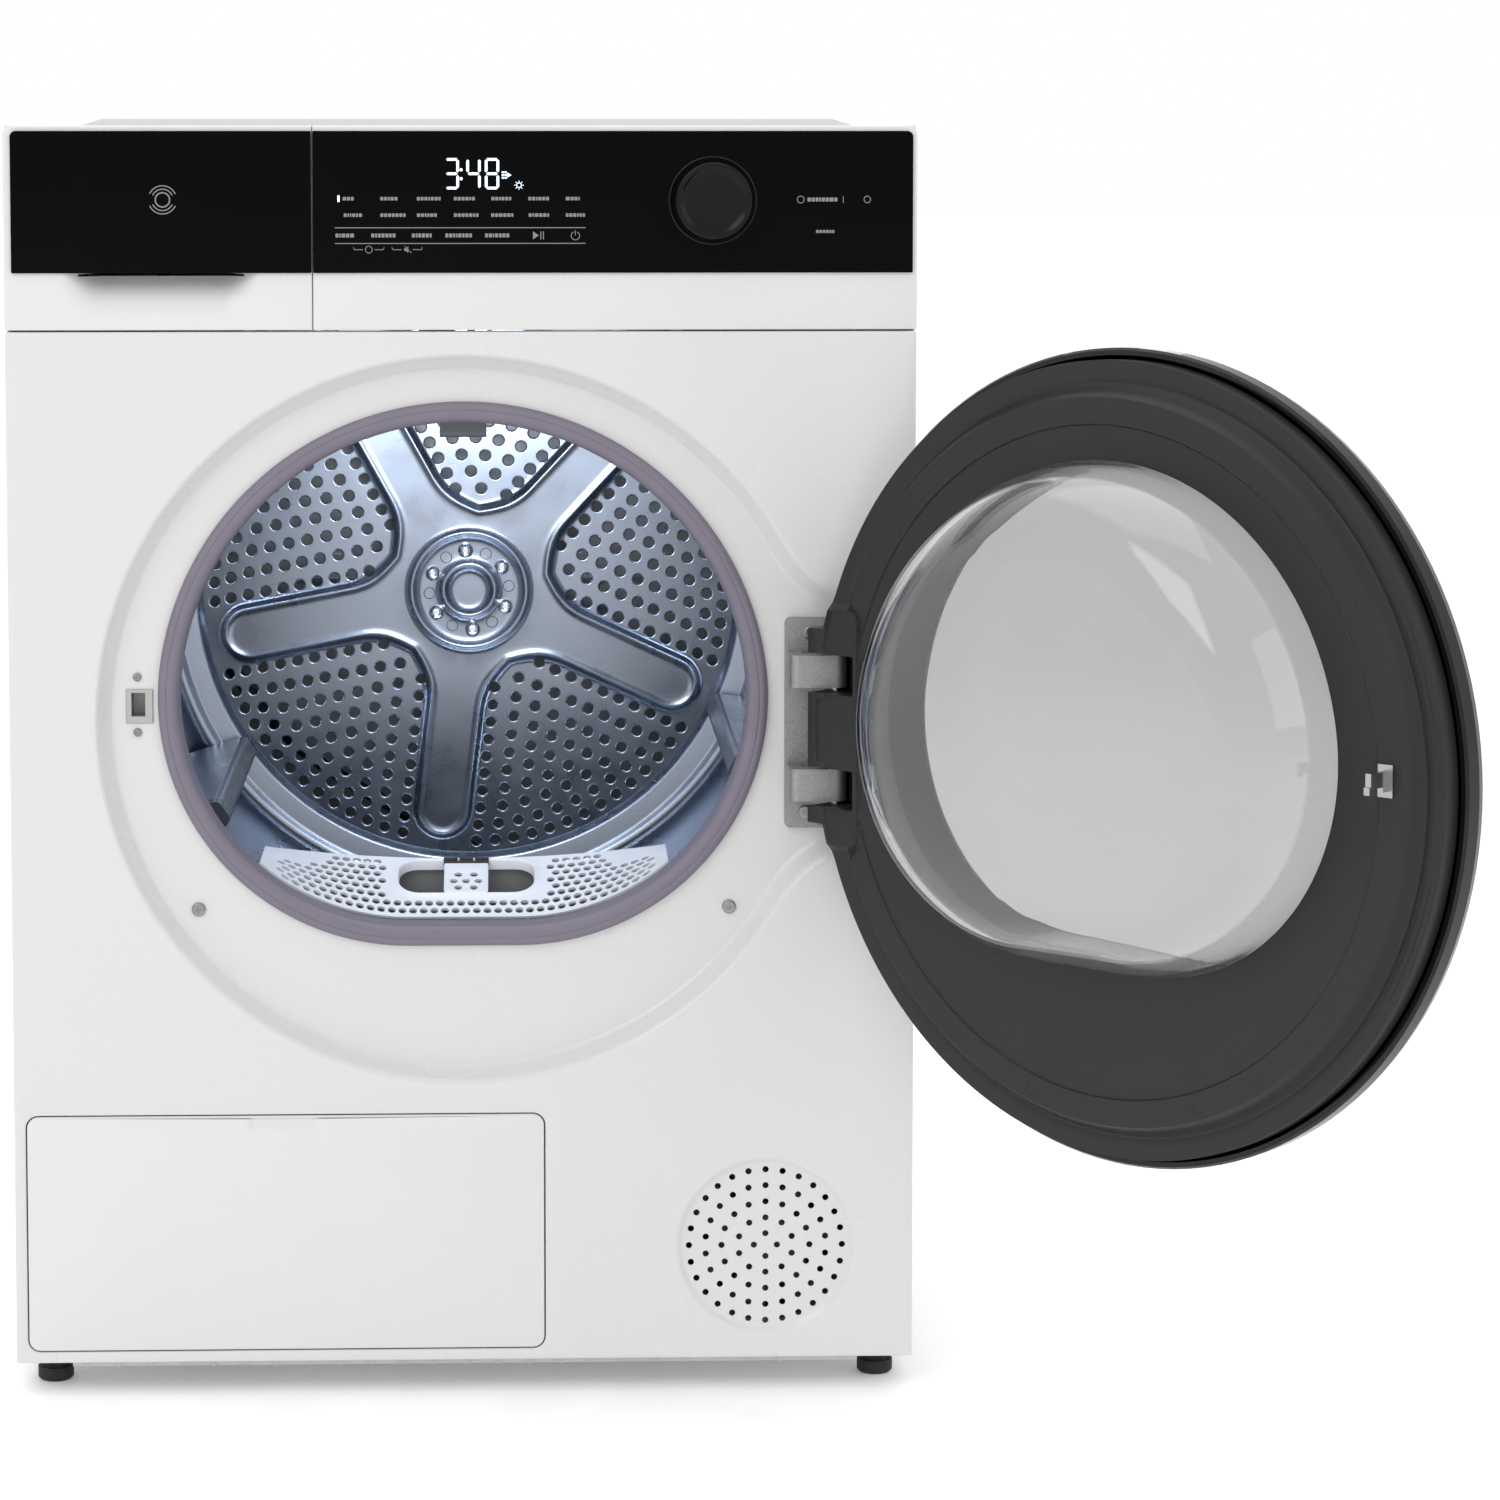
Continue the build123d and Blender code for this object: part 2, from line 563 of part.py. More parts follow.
def drum_rear_plate():
    y = REAR_PLATE_Y
    profile = [
        (0, y), (204, y), (208, y - 6), (223, y - 6), (227, y - 9), (233, y - 9), (237, y - 6),
        (250, y), (274.9, y + 6), (274.9, y + 9), (275.9, y + 9), (275.9, y + 5), (250.4, y - 1),
        (238, y - 7), (233.6, y - 10), (226.4, y - 10), (222.4, y - 7), (207.4, y - 7), (203.4, y - 1),
        (0, y - 1),
    ]
    dish = turned(profile, 0, DRUM_Z)
    spokes = []
    for k in range(5):
        spoke = block(40, 199, y - 4, y - 1, -17, 17)
        spoke = fillet(spoke.edges().filter_by(Axis.Y).group_by(Axis.X)[-1], 15)
        spokes.append(Pos(0, 0, DRUM_Z) * Rot(0, -(47 + 72 * k), 0) * spoke)
    hub = rod(0, DRUM_Z, y - 5, y - 1, 47) - rod(0, DRUM_Z, y - 6, y - 4, 22.6)
    holes = [rod(x, z, y - 6, y + 1, 2.6) for x, z in hub_screw_centres()]
    return fused([dish, hub] + spokes) - fused(holes)


def hub_screw_centres():
    turns = [radians(95 + 60 * k) for k in range(6)]
    return [(30.9 * cos(turn), DRUM_Z + 30.9 * sin(turn)) for turn in turns]


def drum_hub_screws():
    y = REAR_PLATE_Y - 5
    screws = []
    for x, z in hub_screw_centres():
        head = fillet(rod(x, z, y - 3, y, 5.2).edges().group_by(Axis.Y)[0], 1.5)
        screws.append(fused([head, rod(x, z, y, y + 13, 2.5)]))
    return Compound(screws)


def drum_shaft():
    y = REAR_PLATE_Y
    flange = rod(0, DRUM_Z, y, y + 5, 44)
    cone = turned([(0, y + 5), (26, y + 5), (SHAFT_R, y + 24), (0, y + 24)], 0, DRUM_Z)
    shaft = rod(0, DRUM_Z, y + 24, 582, SHAFT_R)
    holes = [rod(x, z, y - 1, y + 6, 2.6) for x, z in hub_screw_centres()]
    return fused([flange, cone, shaft]) - fused(holes)


def drum_lifters():
    """Three hollow paddles that carry the laundry up."""
    tip, half_base, half_tip, wall = 203.0, 34.0, 8.0, 2.5
    lifters = []
    for k in range(3):
        outline = Polyline(
            (tip, -half_tip), (tip, half_tip), (285, half_base), (285, -half_base), close=True
        )
        core = Polyline(
            (tip + wall, -half_tip + wall * 0.7), (tip + wall, half_tip - wall * 0.7),
            (290, half_base - wall), (290, -half_base + wall), close=True,
        )
        ridge = plate(make_face(outline), 150, 492)
        tip_edges = ridge.edges().filter_by(Axis.Y).group_by(Axis.X)[0]
        ridge = fillet(tip_edges, 5)
        ridge = ridge - plate(make_face(core), 153, 489)
        ridge = Pos(0, 0, DRUM_Z) * Rot(0, -(215 + 120 * k), 0) * ridge
        lifters.append(ridge & rod(0, DRUM_Z, 100, 600, DRUM_R - 1.6))
    return Compound(lifters)


# ---- drum drive ------------------------------------------------------------------------------------
def support_roller(side):
    x = side * ROLLER_X
    wheel = rod(x, ROLLER_Z, 108, 126, ROLLER_R) - rod(x, ROLLER_Z, 107, 127, AXLE_R + RUNNING)
    groove = rod(x, ROLLER_Z, 107, 112, 24) - rod(x, ROLLER_Z, 106, 113, 11)
    return wheel - groove


def belt_outline(grow):
    """Loop around the drum and the motor pulley, in the front view."""
    big = DRUM_R + SHEET + grow
    small = PULLEY_R + grow
    dx, dz = MOTOR_X, MOTOR_Z - DRUM_Z
    reach = sqrt(dx * dx + dz * dz)
    toward = atan2(dz, dx)
    lean = atan2(sqrt(reach ** 2 - (big - small) ** 2), big - small)
    points = []
    for turn in (toward + lean, toward - lean):
        points.append((big * cos(turn), DRUM_Z + big * sin(turn)))
        points.append((MOTOR_X + small * cos(turn), MOTOR_Z + small * sin(turn)))
    far = (big * cos(toward + radians(180)), DRUM_Z + big * sin(toward + radians(180)))
    near = (MOTOR_X + small * cos(toward), MOTOR_Z + small * sin(toward))
    return make_face([
        ThreePointArc(points[0], far, points[2]),
        Line(points[2], points[3]),
        ThreePointArc(points[3], near, points[1]),
        Line(points[1], points[0]),
    ])


def drum_belt():
    return plate(belt_outline(0.3 + BELT_T) - belt_outline(0.3), *BELT_Y)


def idler_centre(radius, along=0.55):
    """Where an idler wheel touches the outside of the belt's lower run."""
    big = DRUM_R + SHEET + 0.3 + BELT_T
    small = PULLEY_R + 0.3 + BELT_T
    dx, dz = MOTOR_X, MOTOR_Z - DRUM_Z
    reach = sqrt(dx * dx + dz * dz)
    turn = atan2(dz, dx) - atan2(sqrt(reach ** 2 - (big - small) ** 2), big - small)
    start = (big * cos(turn), DRUM_Z + big * sin(turn))
    end = (MOTOR_X + small * cos(turn), MOTOR_Z + small * sin(turn))
    off = radius + 0.3
    x = start[0] + (end[0] - start[0]) * along + off * cos(turn)
    z = start[1] + (end[1] - start[1]) * along + off * sin(turn)
    return x, z


def idler_pulley():
    x, z = idler_centre(IDLER_R)
    wheel = rod(x, z, 274, 286, IDLER_R) - rod(x, z, 273, 287, 4 + RUNNING)
    rims = rod(x, z, 272.5, 274, IDLER_R) - rod(x, z, 272, 275, 4 + RUNNING)
    return fused([wheel, rims])


def motor_rotor():
    pulley = [
        (0, 272), (PULLEY_R + 4, 272), (PULLEY_R + 4, 274), (PULLEY_R, 275), (PULLEY_R, 285),
        (PULLEY_R + 4, 286), (PULLEY_R + 4, 288), (0, 288),
    ]
    shaft = rod(MOTOR_X, MOTOR_Z, 288, 520, 6)
    return fused([turned(pulley, MOTOR_X, MOTOR_Z), shaft])


def motor_body():
    x, z = MOTOR_X, MOTOR_Z
    can = fillet(rod(x, z, 330, 450, 52).edges().filter_by(GeomType.CIRCLE), 6)
    foot = block(x - 42, x + 42, 345, 435, 24.5, z - 30)
    ring_hole = rod(x, z, 342, 438, 34)
    idler_x, idler_z = idler_centre(IDLER_R)
    xs, zs = sorted((idler_x, x)), sorted((idler_z, z))
    arm = block(xs[0] - 6, xs[1] + 6, 324, 330, zs[0] - 8, zs[1] + 8)
    idler_axle = rod(idler_x, idler_z, 270, 324, 4)
    fins = [block(x - 58, x + 58, y, y + 3, z - 24, z + 24) for y in range(352, 430, 12)]
    return fused([can, foot, arm, idler_axle] + fins) - ring_hole - rod(x, z, 320, 460, 6 + RUNNING)


def blower_wheel():
    x, z, y0, y1 = MOTOR_X, MOTOR_Z, 468.0, 516.0
    back = rod(x, z, y1 - 3, y1, 60)
    hub = rod(x, z, y0 + 18, y1, 14)
    ring = rod(x, z, y0, y0 + 3, 60) - rod(x, z, y0 - 1, y0 + 4, 46)
    blades = []
    for k in range(24):
        blade = Rot(0, 28, 0) * block(-7, 7, y0, y1, -0.8, 0.8)
        blades.append(Pos(x, 0, z) * Rot(0, 15 * k, 0) * Pos(52.5, 0, 0) * blade)
    return fused([back, hub, ring] + blades) - rod(x, z, y0 - 1, y1 + 1, 6)


def fan_housing():
    shell = block(146, 288, 462, 540, 60, 232) - block(148, 286, 464, 538, 62, 230)
    snout = block(50.5, 148, 470, 530, 60, 150) - block(50, 150, 472, 528, 62, 148)
    outlet = block(150, 260, 538, REAR_Y, 120, 190) - block(152, 258, 537, REAR_Y + 1, 122, 188)
    foot = block(180, 250, 480, 530, 24.5, 60)
    inlet = block(140, 150, 472, 528, 62, 148)
    joined = fused([shell - inlet - block(152, 258, 536, 542, 122, 188), snout, outlet, foot])
    return joined - rod(MOTOR_X, MOTOR_Z, 461, 466, 11)


# ---- heat pump and water ------------------------------------------------------------------------------
def exchanger_housing():
    x0, x1, y0, y1, z0, z1 = HOUSING
    room = 27.0
    notch = fused([block(x0, x0 + room, y, y + room, z0, 56) for y in (y0, y1 - room)])
    wall_notch = fused([
        block(x0, x0 + room + 2, y0, y0 + room + 2, z0, 58),
        block(x0, x0 + room + 2, y1 - room - 2, y1, z0, 58),
    ])
    hollow = block(x0 + 2, x1 - 2, y0 + 2, y1 - 2, z0 + 2, z1 - 2) - wall_notch
    shell = block(*HOUSING) - notch - hollow
    cuts = [
        block(-258, 29, y0 - 1, y0 + 3, 60, 163),
        block(-136, 46, 43, 100.5, z1 - 3, z1 + 1),
        block(x1 - 3, x1 + 1, 472, 528, 62, 148),
        bar(244, 120, x1 - 4, x1 + 1, 5.2),
        bar(150, 70, x1 - 4, x1 + 1, 5.2),
    ]
    cuts += [rod(x, LOCK_Z, y0 - 1, y0 + 3, 3 + RUNNING) for x in LOCK_XS]
    return shell - fused(cuts)


def exchanger_cover():
    lid = block(-272, 34, 24, 32, 50, 172) - block(-269, 31, 23, 30, 53, 169)
    plug = block(-257, 28, 32, 37, 61, 162) - block(-254, 25, 30, 35, 64, 159)
    grip = block(-144, -94, 20, 30, 108, 116)
    ribs = [block(x, x + 2, 24.5, 30, 53, 169) for x in (-200, -40)]
    web = block(-254, 25, 30, 32, 64, 159)
    return fused([lid, plug, grip, web] + ribs)


def turn_lock(x, side):
    """Quarter-turn lever that holds the exchanger cover."""
    boss = rod(x, LOCK_Z, 18, 22, 5)
    reach = x + side * 15
    lever = block(min(x, reach), max(x, reach), 18, 22, LOCK_Z - 4, LOCK_Z + 4)
    pin = rod(x, LOCK_Z, 22, 34, 3)
    return fused([boss, lever, pin])


def fin_stack(y0, y1, z0, z1):
    """Finned heat exchanger: thin plates across, joined by tubes along X."""
    x0, x1 = -276.0, 40.0
    count = 24
    step = (x1 - x0 - 1.5) / (count - 1)
    fins = [block(x0 + k * step, x0 + k * step + 1.5, y0, y1, z0, z1) for k in range(count)]
    rows = (z0 + 25, (z0 + z1) / 2, z1 - 25)
    tubes = [bar(y, z, x0, x1, 4) for y in (y0 + 22, y1 - 22) for z in rows]
    return fused(fins + tubes)


def evaporator():
    return fin_stack(112, 192, 27, 172)


def condenser():
    return fin_stack(204, 344, 27, 172)


def compressor():
    x, y = 190.0, 190.0
    can = post(x, y, 40, 208, 65)
    can = fillet(can.edges().filter_by(GeomType.CIRCLE), 22)
    can = can - post(x, y, 52, 196, 55)
    legs = [
        post(x + 62 * cos(radians(a)), y + 62 * sin(radians(a)), 24.5, 46, 12)
        for a in (30, 150, 270)
    ]
    return fused([can] + legs)


def refrigerant_pipes():
    hot = tube([(40, 244, 120), (88, 244, 120), (88, 244, 165), (88, 216, 165), (128.6, 216, 165)], 4)
    cold = tube([(40, 150, 70), (84, 150, 70), (84, 178, 70), (125.4, 178, 70)], 4)
    return Compound([hot, cold])


def condensate_pump():
    body = block(62, 112, 400, 462, 24.5, 66)
    motor = post(87, 430, 66, 92, 17)
    spout = post(70, 408, 66, 84, 5)
    return fused([body, motor, spout])


def pump_hose():
    route = [
        (70, 408, 84), (70, 408, 140), (74, 470, 178), (70, 545, 210), (20, 556, 270), (-60, 556, 310),
        (-140, 556, 360), (-200, 556, 440), (-236, 556, 530), (-244, 556, 620), (-240, 556, 700),
        (-225, 548, 762), (-205, 502, 779),
    ]
    return tube(route, 5)


def tank_housing():
    x0, x1 = TANK_X[0] - 3, TANK_X[1] + 3
    z0 = TANK_Z[0] - 2.2
    body = block(x0, x1, 24, 500, z0, 786) - block(x0 + 1.6, x1 - 1.6, 23, 498, z0 + 1.6, 787)
    flange = block(x1, x1 + 14, 24, 500, 784, 786)
    return fused([body, flange]) - rod(-205, 779, 490, 510, 6.5)


def cooling_fan():
    x, z, y0, y1 = VENT_X, VENT_Z, 24.0, 40.0
    hub = fillet(rod(x, z, y0, y1, 17).edges().group_by(Axis.Y)[0], 2)
    blades = []
    for k in range(7):
        blade = block(14, 50, -1, 1, -13, 13)
        blades.append(Pos(x, (y0 + y1) / 2, z) * Rot(0, 360 / 7 * k, 0) * Rot(32, 0, 0) * blade)
    return fused([hub] + blades) - rod(x, z, 30, y1 + 1, 3 + RUNNING)


def fan_shroud():
    x, z = VENT_X, VENT_Z
    frame = plate(rounded(x - 60, x + 60, z - 60, z + 60, 10), 20, 52) - rod(x, z, 19, 53, 55)
    hub = rod(x, z, 44, 52, 20)
    spider = [
        Pos(x, 0, z) * Rot(0, a, 0) * block(18, 57, 46, 52, -2.5, 2.5) for a in (45, 135, 225, 315)
    ]
    foot = block(x - 50, x + 50, 22, 50, 24.5, z - 58)
    axle = rod(x, z, 31, 44, 3)
    return fused([frame, hub, axle, foot] + spider)


def rear_bearing():
    bore = rod(0, DRUM_Z, 550, 590, SHAFT_R + RUNNING)
    boss = rod(0, DRUM_Z, 562, REAR_Y, 24)
    bracket = block(-190, 190, REAR_Y - 4, REAR_Y, DRUM_Z - 20, DRUM_Z + 20)
    gussets = []
    for side in (-1, 1):
        web = make_face(Polyline((side * 20, 566), (side * 150, 584.5), (side * 20, 584.5), close=True))
        gussets.append(extrude(Plane.XY.offset(DRUM_Z - 2) * web, amount=4))
    return fused([boss, bracket] + gussets) - bore


def power_inlet():
    """Terminal box inside the rear sheet with a screwed gland outside."""
    case = block(-268, -202, 556, 587, 740, 800)
    case = case - block(-266, -204, 558, 585, 742, 798)
    neck = rod(-235, 770, 587, 590, 10)
    gland = plate(Pos(-235, 770) * RegularPolygon(15, 6), 590, 594)
    tip = turned([(6, 594), (12, 594), (9, 599.6), (6, 599.6)], -235, 770)
    return fused([case, neck, gland, tip]) - rod(-235, 770, 584, 600, 5)


# ---- condensate tank drawer --------------------------------------------------------------------------
def tank_front():
    shell = fascia_shell(-CABINET_HALF_W, TANK_SPLIT_X - GAP / 2)
    pocket_outer = block(-260.5, -131, 0, 24, 711, 744)
    pocket = block(-258.5, -133, -1, 22, 713, 742)
    bosses = [block(x, x + 10, 2.5, FRONT_DEPTH, 760, 800) for x in (-272, -140)]
    return fused([shell, pocket_outer] + bosses) - pocket


def tank_glass():
    return glass_panel(-CABINET_HALF_W + 5, TANK_SPLIT_X - GAP / 2 - 0.3)


def tank_container():
    x0, x1 = TANK_X
    z0, z1 = TANK_Z
    y0, y1 = FRONT_DEPTH, 485.0
    vessel = block(x0, x1, y0, y1, z0, z1)
    vessel = fillet(vessel.edges().filter_by(Axis.Y), 6)
    vessel = vessel - block(x0 + 2, x1 - 2, y0 + 2, y1 - 2, z0 + 2, z1 - 2)
    spout = post(-250, 452, z1 - 3, z1 + 1, 15)
    return vessel - spout


# ---- service flap ---------------------------------------------------------------------------------
def service_flap():
    x0, x1, z0, z1 = FLAP
    skin = plate(rounded(x0, x1, z0, z1, 7.6), 0, 2.5)
    skin = fillet(skin.edges().group_by(Axis.Y)[0].group_by(Axis.Z)[0], 2.3)
    ribs = [block(x, x + 1.5, 2.5, 5.5, 42, 176) for x in range(-270, 41, 62)]
    ribs += [block(-270, 41.5, 2.5, 5.5, z, z + 1.5) for z in (42, 108, 174.5)]
    lugs = [bar(FLAP_AXIS_Y, FLAP_AXIS_Z, x, x + 7, 3.2) for x in (x0 + 6, x1 - 13)]
    pins = [
        bar(FLAP_AXIS_Y, FLAP_AXIS_Z, x0 - 2.2, x0 + 8, 2),
        bar(FLAP_AXIS_Y, FLAP_AXIS_Z, x1 - 8, x1 + 2.2, 2),
    ]
    grip = block(-143.6, -94.9, -1, 1.6, 177.2, 190)
    return fused([skin] + ribs + lugs + pins) - grip


# ---- everything -----------------------------------------------------------------------------------
CABINET_PARTS = (
    left_side_panel, right_side_panel, rear_panel, rear_duct_cover, worktop, front_panel, base_tray,
    levelling_feet, control_fascia, control_glass, display_module, control_board, opening_seal,
    front_bulkhead, drum_lamp, outlet_grille, filter_duct, latch_catch, hinge_bracket, front_screws,
    drum_belt, motor_body, fan_housing, exchanger_housing, exchanger_cover, evaporator, condenser,
    compressor, refrigerant_pipes, condensate_pump, pump_hose, tank_housing, fan_shroud, rear_bearing,
    power_inlet, dial_knob, filter_cassette, drum_shell, drum_rear_plate, drum_hub_screws, drum_shaft,
    drum_lifters, idler_pulley, motor_rotor, blower_wheel, cooling_fan, tank_front, tank_glass,
    tank_container, service_flap,
)
DOOR_PARTS = (door_outer_ring, door_window, door_inner_frame, door_bowl, door_hook, hinge_pins)


def build_all():
    """Every sub-part by node name, in cabinet coordinates."""
    nodes = {make.__name__: make() for make in CABINET_PARTS}
    nodes.update({make.__name__: swung_open(make()) for make in DOOR_PARTS})
    nodes["roller_left"] = support_roller(-1)
    nodes["roller_right"] = support_roller(1)
    nodes["turn_lock_left"] = turn_lock(LOCK_XS[0], 1)
    nodes["turn_lock_right"] = turn_lock(LOCK_XS[1], -1)
    return nodes


def main():
    os.makedirs("parts", exist_ok=True)
    lows, highs = [], []
    for name, solid in build_all().items():
        placed = Pos(-ORIGIN_X, -ORIGIN_Y, 0) * solid
        export_step(placed, f"parts/{name}.step")
        size = placed.bounding_box()
        lows.append(size.min)
        highs.append(size.max)
    for axis in "XYZ":
        low = min(getattr(corner, axis) for corner in lows)
        high = max(getattr(corner, axis) for corner in highs)
        print(f"{axis}: {low:.2f} to {high:.2f}, middle {(low + high) / 2:.2f}")


main()
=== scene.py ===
import bmesh
import bpy
import json
from math import atan2, cos, exp, hypot, pi, radians, sin, sqrt
from mathutils import Euler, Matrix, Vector
from mathutils.geometry import delaunay_2d_cdt


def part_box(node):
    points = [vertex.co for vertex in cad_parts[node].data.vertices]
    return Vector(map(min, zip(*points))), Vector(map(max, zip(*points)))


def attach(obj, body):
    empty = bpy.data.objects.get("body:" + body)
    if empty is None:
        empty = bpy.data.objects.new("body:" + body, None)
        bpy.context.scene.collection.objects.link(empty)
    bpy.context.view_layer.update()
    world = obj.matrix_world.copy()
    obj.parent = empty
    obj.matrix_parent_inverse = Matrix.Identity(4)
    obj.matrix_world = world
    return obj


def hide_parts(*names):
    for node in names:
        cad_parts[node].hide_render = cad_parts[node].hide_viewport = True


# Clothes dryer.  Shapes are in millimetres in cabinet coordinates: X = 0 on the centre line, Y = 0 on
# the front sheet, Z = 0 on the floor.  P() turns them into metres in the frame.
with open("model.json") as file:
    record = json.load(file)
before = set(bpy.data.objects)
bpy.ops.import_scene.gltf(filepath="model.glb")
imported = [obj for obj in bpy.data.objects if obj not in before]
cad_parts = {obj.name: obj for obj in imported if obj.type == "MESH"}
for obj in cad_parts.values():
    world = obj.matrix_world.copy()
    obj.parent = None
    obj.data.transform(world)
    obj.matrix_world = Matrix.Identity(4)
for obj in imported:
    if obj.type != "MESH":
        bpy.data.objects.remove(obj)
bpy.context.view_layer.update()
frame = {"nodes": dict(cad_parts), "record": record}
front_low, front_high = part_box("front_panel")
X0 = (front_low.x + front_high.x) / 2
Y0 = front_low.y


def P(x, y, z):
    return Vector((X0 + x / 1000, Y0 + y / 1000, z / 1000))


# ---- camera --------------------------------------------------------------------------------------
CAMERA_AT = (28.0, -3030.0, 841.0)
YAW, PITCH = 1.914, 4.939

camera = bpy.data.objects.new("camera", bpy.data.cameras.new("camera"))
bpy.context.scene.collection.objects.link(camera)
bpy.context.scene.camera = camera
camera.data.sensor_width = 36.0
camera.data.lens = 111.34
camera.data.shift_x = 0.06
camera.data.shift_y = -0.15
camera.location = P(*CAMERA_AT)
camera.rotation_euler = Euler((radians(90 - PITCH), 0, radians(-YAW)), "XYZ")

# ---- sizes, the same as the CAD model's ----------------------------------------------------------
HALF_W = 297.5
DOOR_Z, RECESS_R, RECESS_DEPTH = 449.8, 242.6, 14.0
BAY = (205.0, 258.0, 363.0, 531.0)
OPENING_Z = 458.0
SEAL_R, SEAL_SILL, SEAL_CORNER = 201.6, 159.5, 165.0
DRUM_Z, PLATE_Y = 486.0, 509.0
HINGE_X, HINGE_Y, DOOR_OPEN = 244.0, -18.0, 133.5
KNOB_X, KNOB_Z = 163.6, 791.4
VENT_X, VENT_Z = 199.6, 97.5
VENT_RINGS = ((7.7, 4), (18.4, 10), (29.3, 16), (40.2, 22), (51.0, 28))
FLAP = (-289.1, 52.4, 30.1, 187.5)
ARM_SPANS = ((399.3, 420.4), (474.0, 495.3))
LATCH_SLOT = (-220.6, -207.4, 450.6, 469.6)      # x0, x1, z0, z1
DISPLAY_WINDOW = (-14, 28, 796, 821)
FILTER_SLOT = (-45.5, 47.5, 25.5, 67.5)          # x0, x1 and the run along the outlet grille
FILTER_SLOT_R = (15,) * 4
GRILLE_RUN = 71.0
SPOKE_START = 47.0                               # degrees
DRUM_PLATE_R, PLATE_HOLE_R = 203.0, 3.8
RIM_R = 247.4                                    # edge of the door's inner frame
RIM_SCREW_R, RIM_SCREW_ANGLES = 216.5, (38, 76, 111, 149, 211, 249, 284, 322)
PIN_CARRIER = (236.0, 251.0, -26.6, 1.75)        # x0, x1, y0, y1
PIN_CARRIER_Z = (386.0, 514.0)


# ---- small maths ---------------------------------------------------------------------------------
def smooth(t):
    t = min(1.0, max(0.0, t))
    return t * t * (3 - 2 * t)


def hump(d, width):
    return exp(-(d / width) ** 2)


def soft_max(a, b, k):
    h = max(k - abs(a - b), 0) / k
    return max(a, b) + h * h * k / 4


def inside_rect(x, z, x0, x1, z0, z1, r):
    """Distance to a rounded rectangle's edge, positive inside."""
    dx = abs(x - (x0 + x1) / 2) - (x1 - x0) / 2 + r
    dz = abs(z - (z0 + z1) / 2) - (z1 - z0) / 2 + r
    return r - hypot(max(dx, 0), max(dz, 0)) - min(max(dx, dz), 0)


def inside_opening(x, z, inset):
    """Positive inside the loading opening's outline set in by inset."""
    up = SEAL_CORNER - SEAL_SILL
    side = sqrt((SEAL_R - SEAL_CORNER) ** 2 - up ** 2)
    x, z = abs(x), z - OPENING_Z
    if z < up and x < side:
        return SEAL_SILL - inset + z
    if atan2(z, x) < atan2(up, side):
        return SEAL_CORNER - inset - hypot(x - side, z - up)
    return SEAL_R - inset - hypot(x, z)


def opening_loop(inset, scale=1):
    """The loading opening's outline as points, anticlockwise in the front view."""
    radius, corner, sill = SEAL_R - inset, SEAL_CORNER - inset, SEAL_SILL - inset
    up = SEAL_CORNER - SEAL_SILL
    side = sqrt((SEAL_R - SEAL_CORNER) ** 2 - up ** 2)
    tangent = atan2(up, side)
    points = []
    top, knee, flat = 110 * scale, 44 * scale, 12 * scale
    for k in range(top):
        a = tangent + (pi - 2 * tangent) * k / top
        points.append((radius * cos(a), OPENING_Z + radius * sin(a)))
    for k in range(knee):
        a = pi - tangent + (pi / 2 + tangent) * k / knee
        points.append((-side + corner * cos(a), OPENING_Z + up + corner * sin(a)))
    for k in range(flat):
        points.append((-side + 2 * side * k / flat, OPENING_Z - sill))
    for k in range(knee):
        a = -pi / 2 + (pi / 2 + tangent) * k / knee
        points.append((side + corner * cos(a), OPENING_Z + up + corner * sin(a)))
    return points


def rect_loop(x0, x1, z0, z1, radii, inset=0.0, seg=6):
    """Rounded rectangle, anticlockwise from the lower left; radii ll, lr, ur, ul."""
    x0, x1, z0, z1 = x0 + inset, x1 - inset, z0 + inset, z1 - inset
    ll, lr, ur, ul = [max(r - inset, 0.15) for r in radii]
    points = []
    for cx, cz, r, start in (
        (x0 + ll, z0 + ll, ll, 180), (x1 - lr, z0 + lr, lr, 270),
        (x1 - ur, z1 - ur, ur, 0), (x0 + ul, z1 - ul, ul, 90),
    ):
        for k in range(seg + 1):
            a = radians(start + 90 * k / seg)
            points.append((cx + r * cos(a), cz + r * sin(a)))
    return points


def circle(cx, cz, r, n, start=0.0):
    return [(cx + r * cos(start + 2 * pi * k / n),
             cz + r * sin(start + 2 * pi * k / n)) for k in range(n)]


def at(loop, y):
    """A front-view outline at depth y."""
    return [(x, y, z) for x, z in loop]


def swing(p):
    """From the closed door to the open one."""
    a = radians(DOOR_OPEN)
    x, y = p[0] - HINGE_X, p[1] - HINGE_Y
    return (HINGE_X + x * cos(a) - y * sin(a), HINGE_Y + x * sin(a) + y * cos(a), p[2])


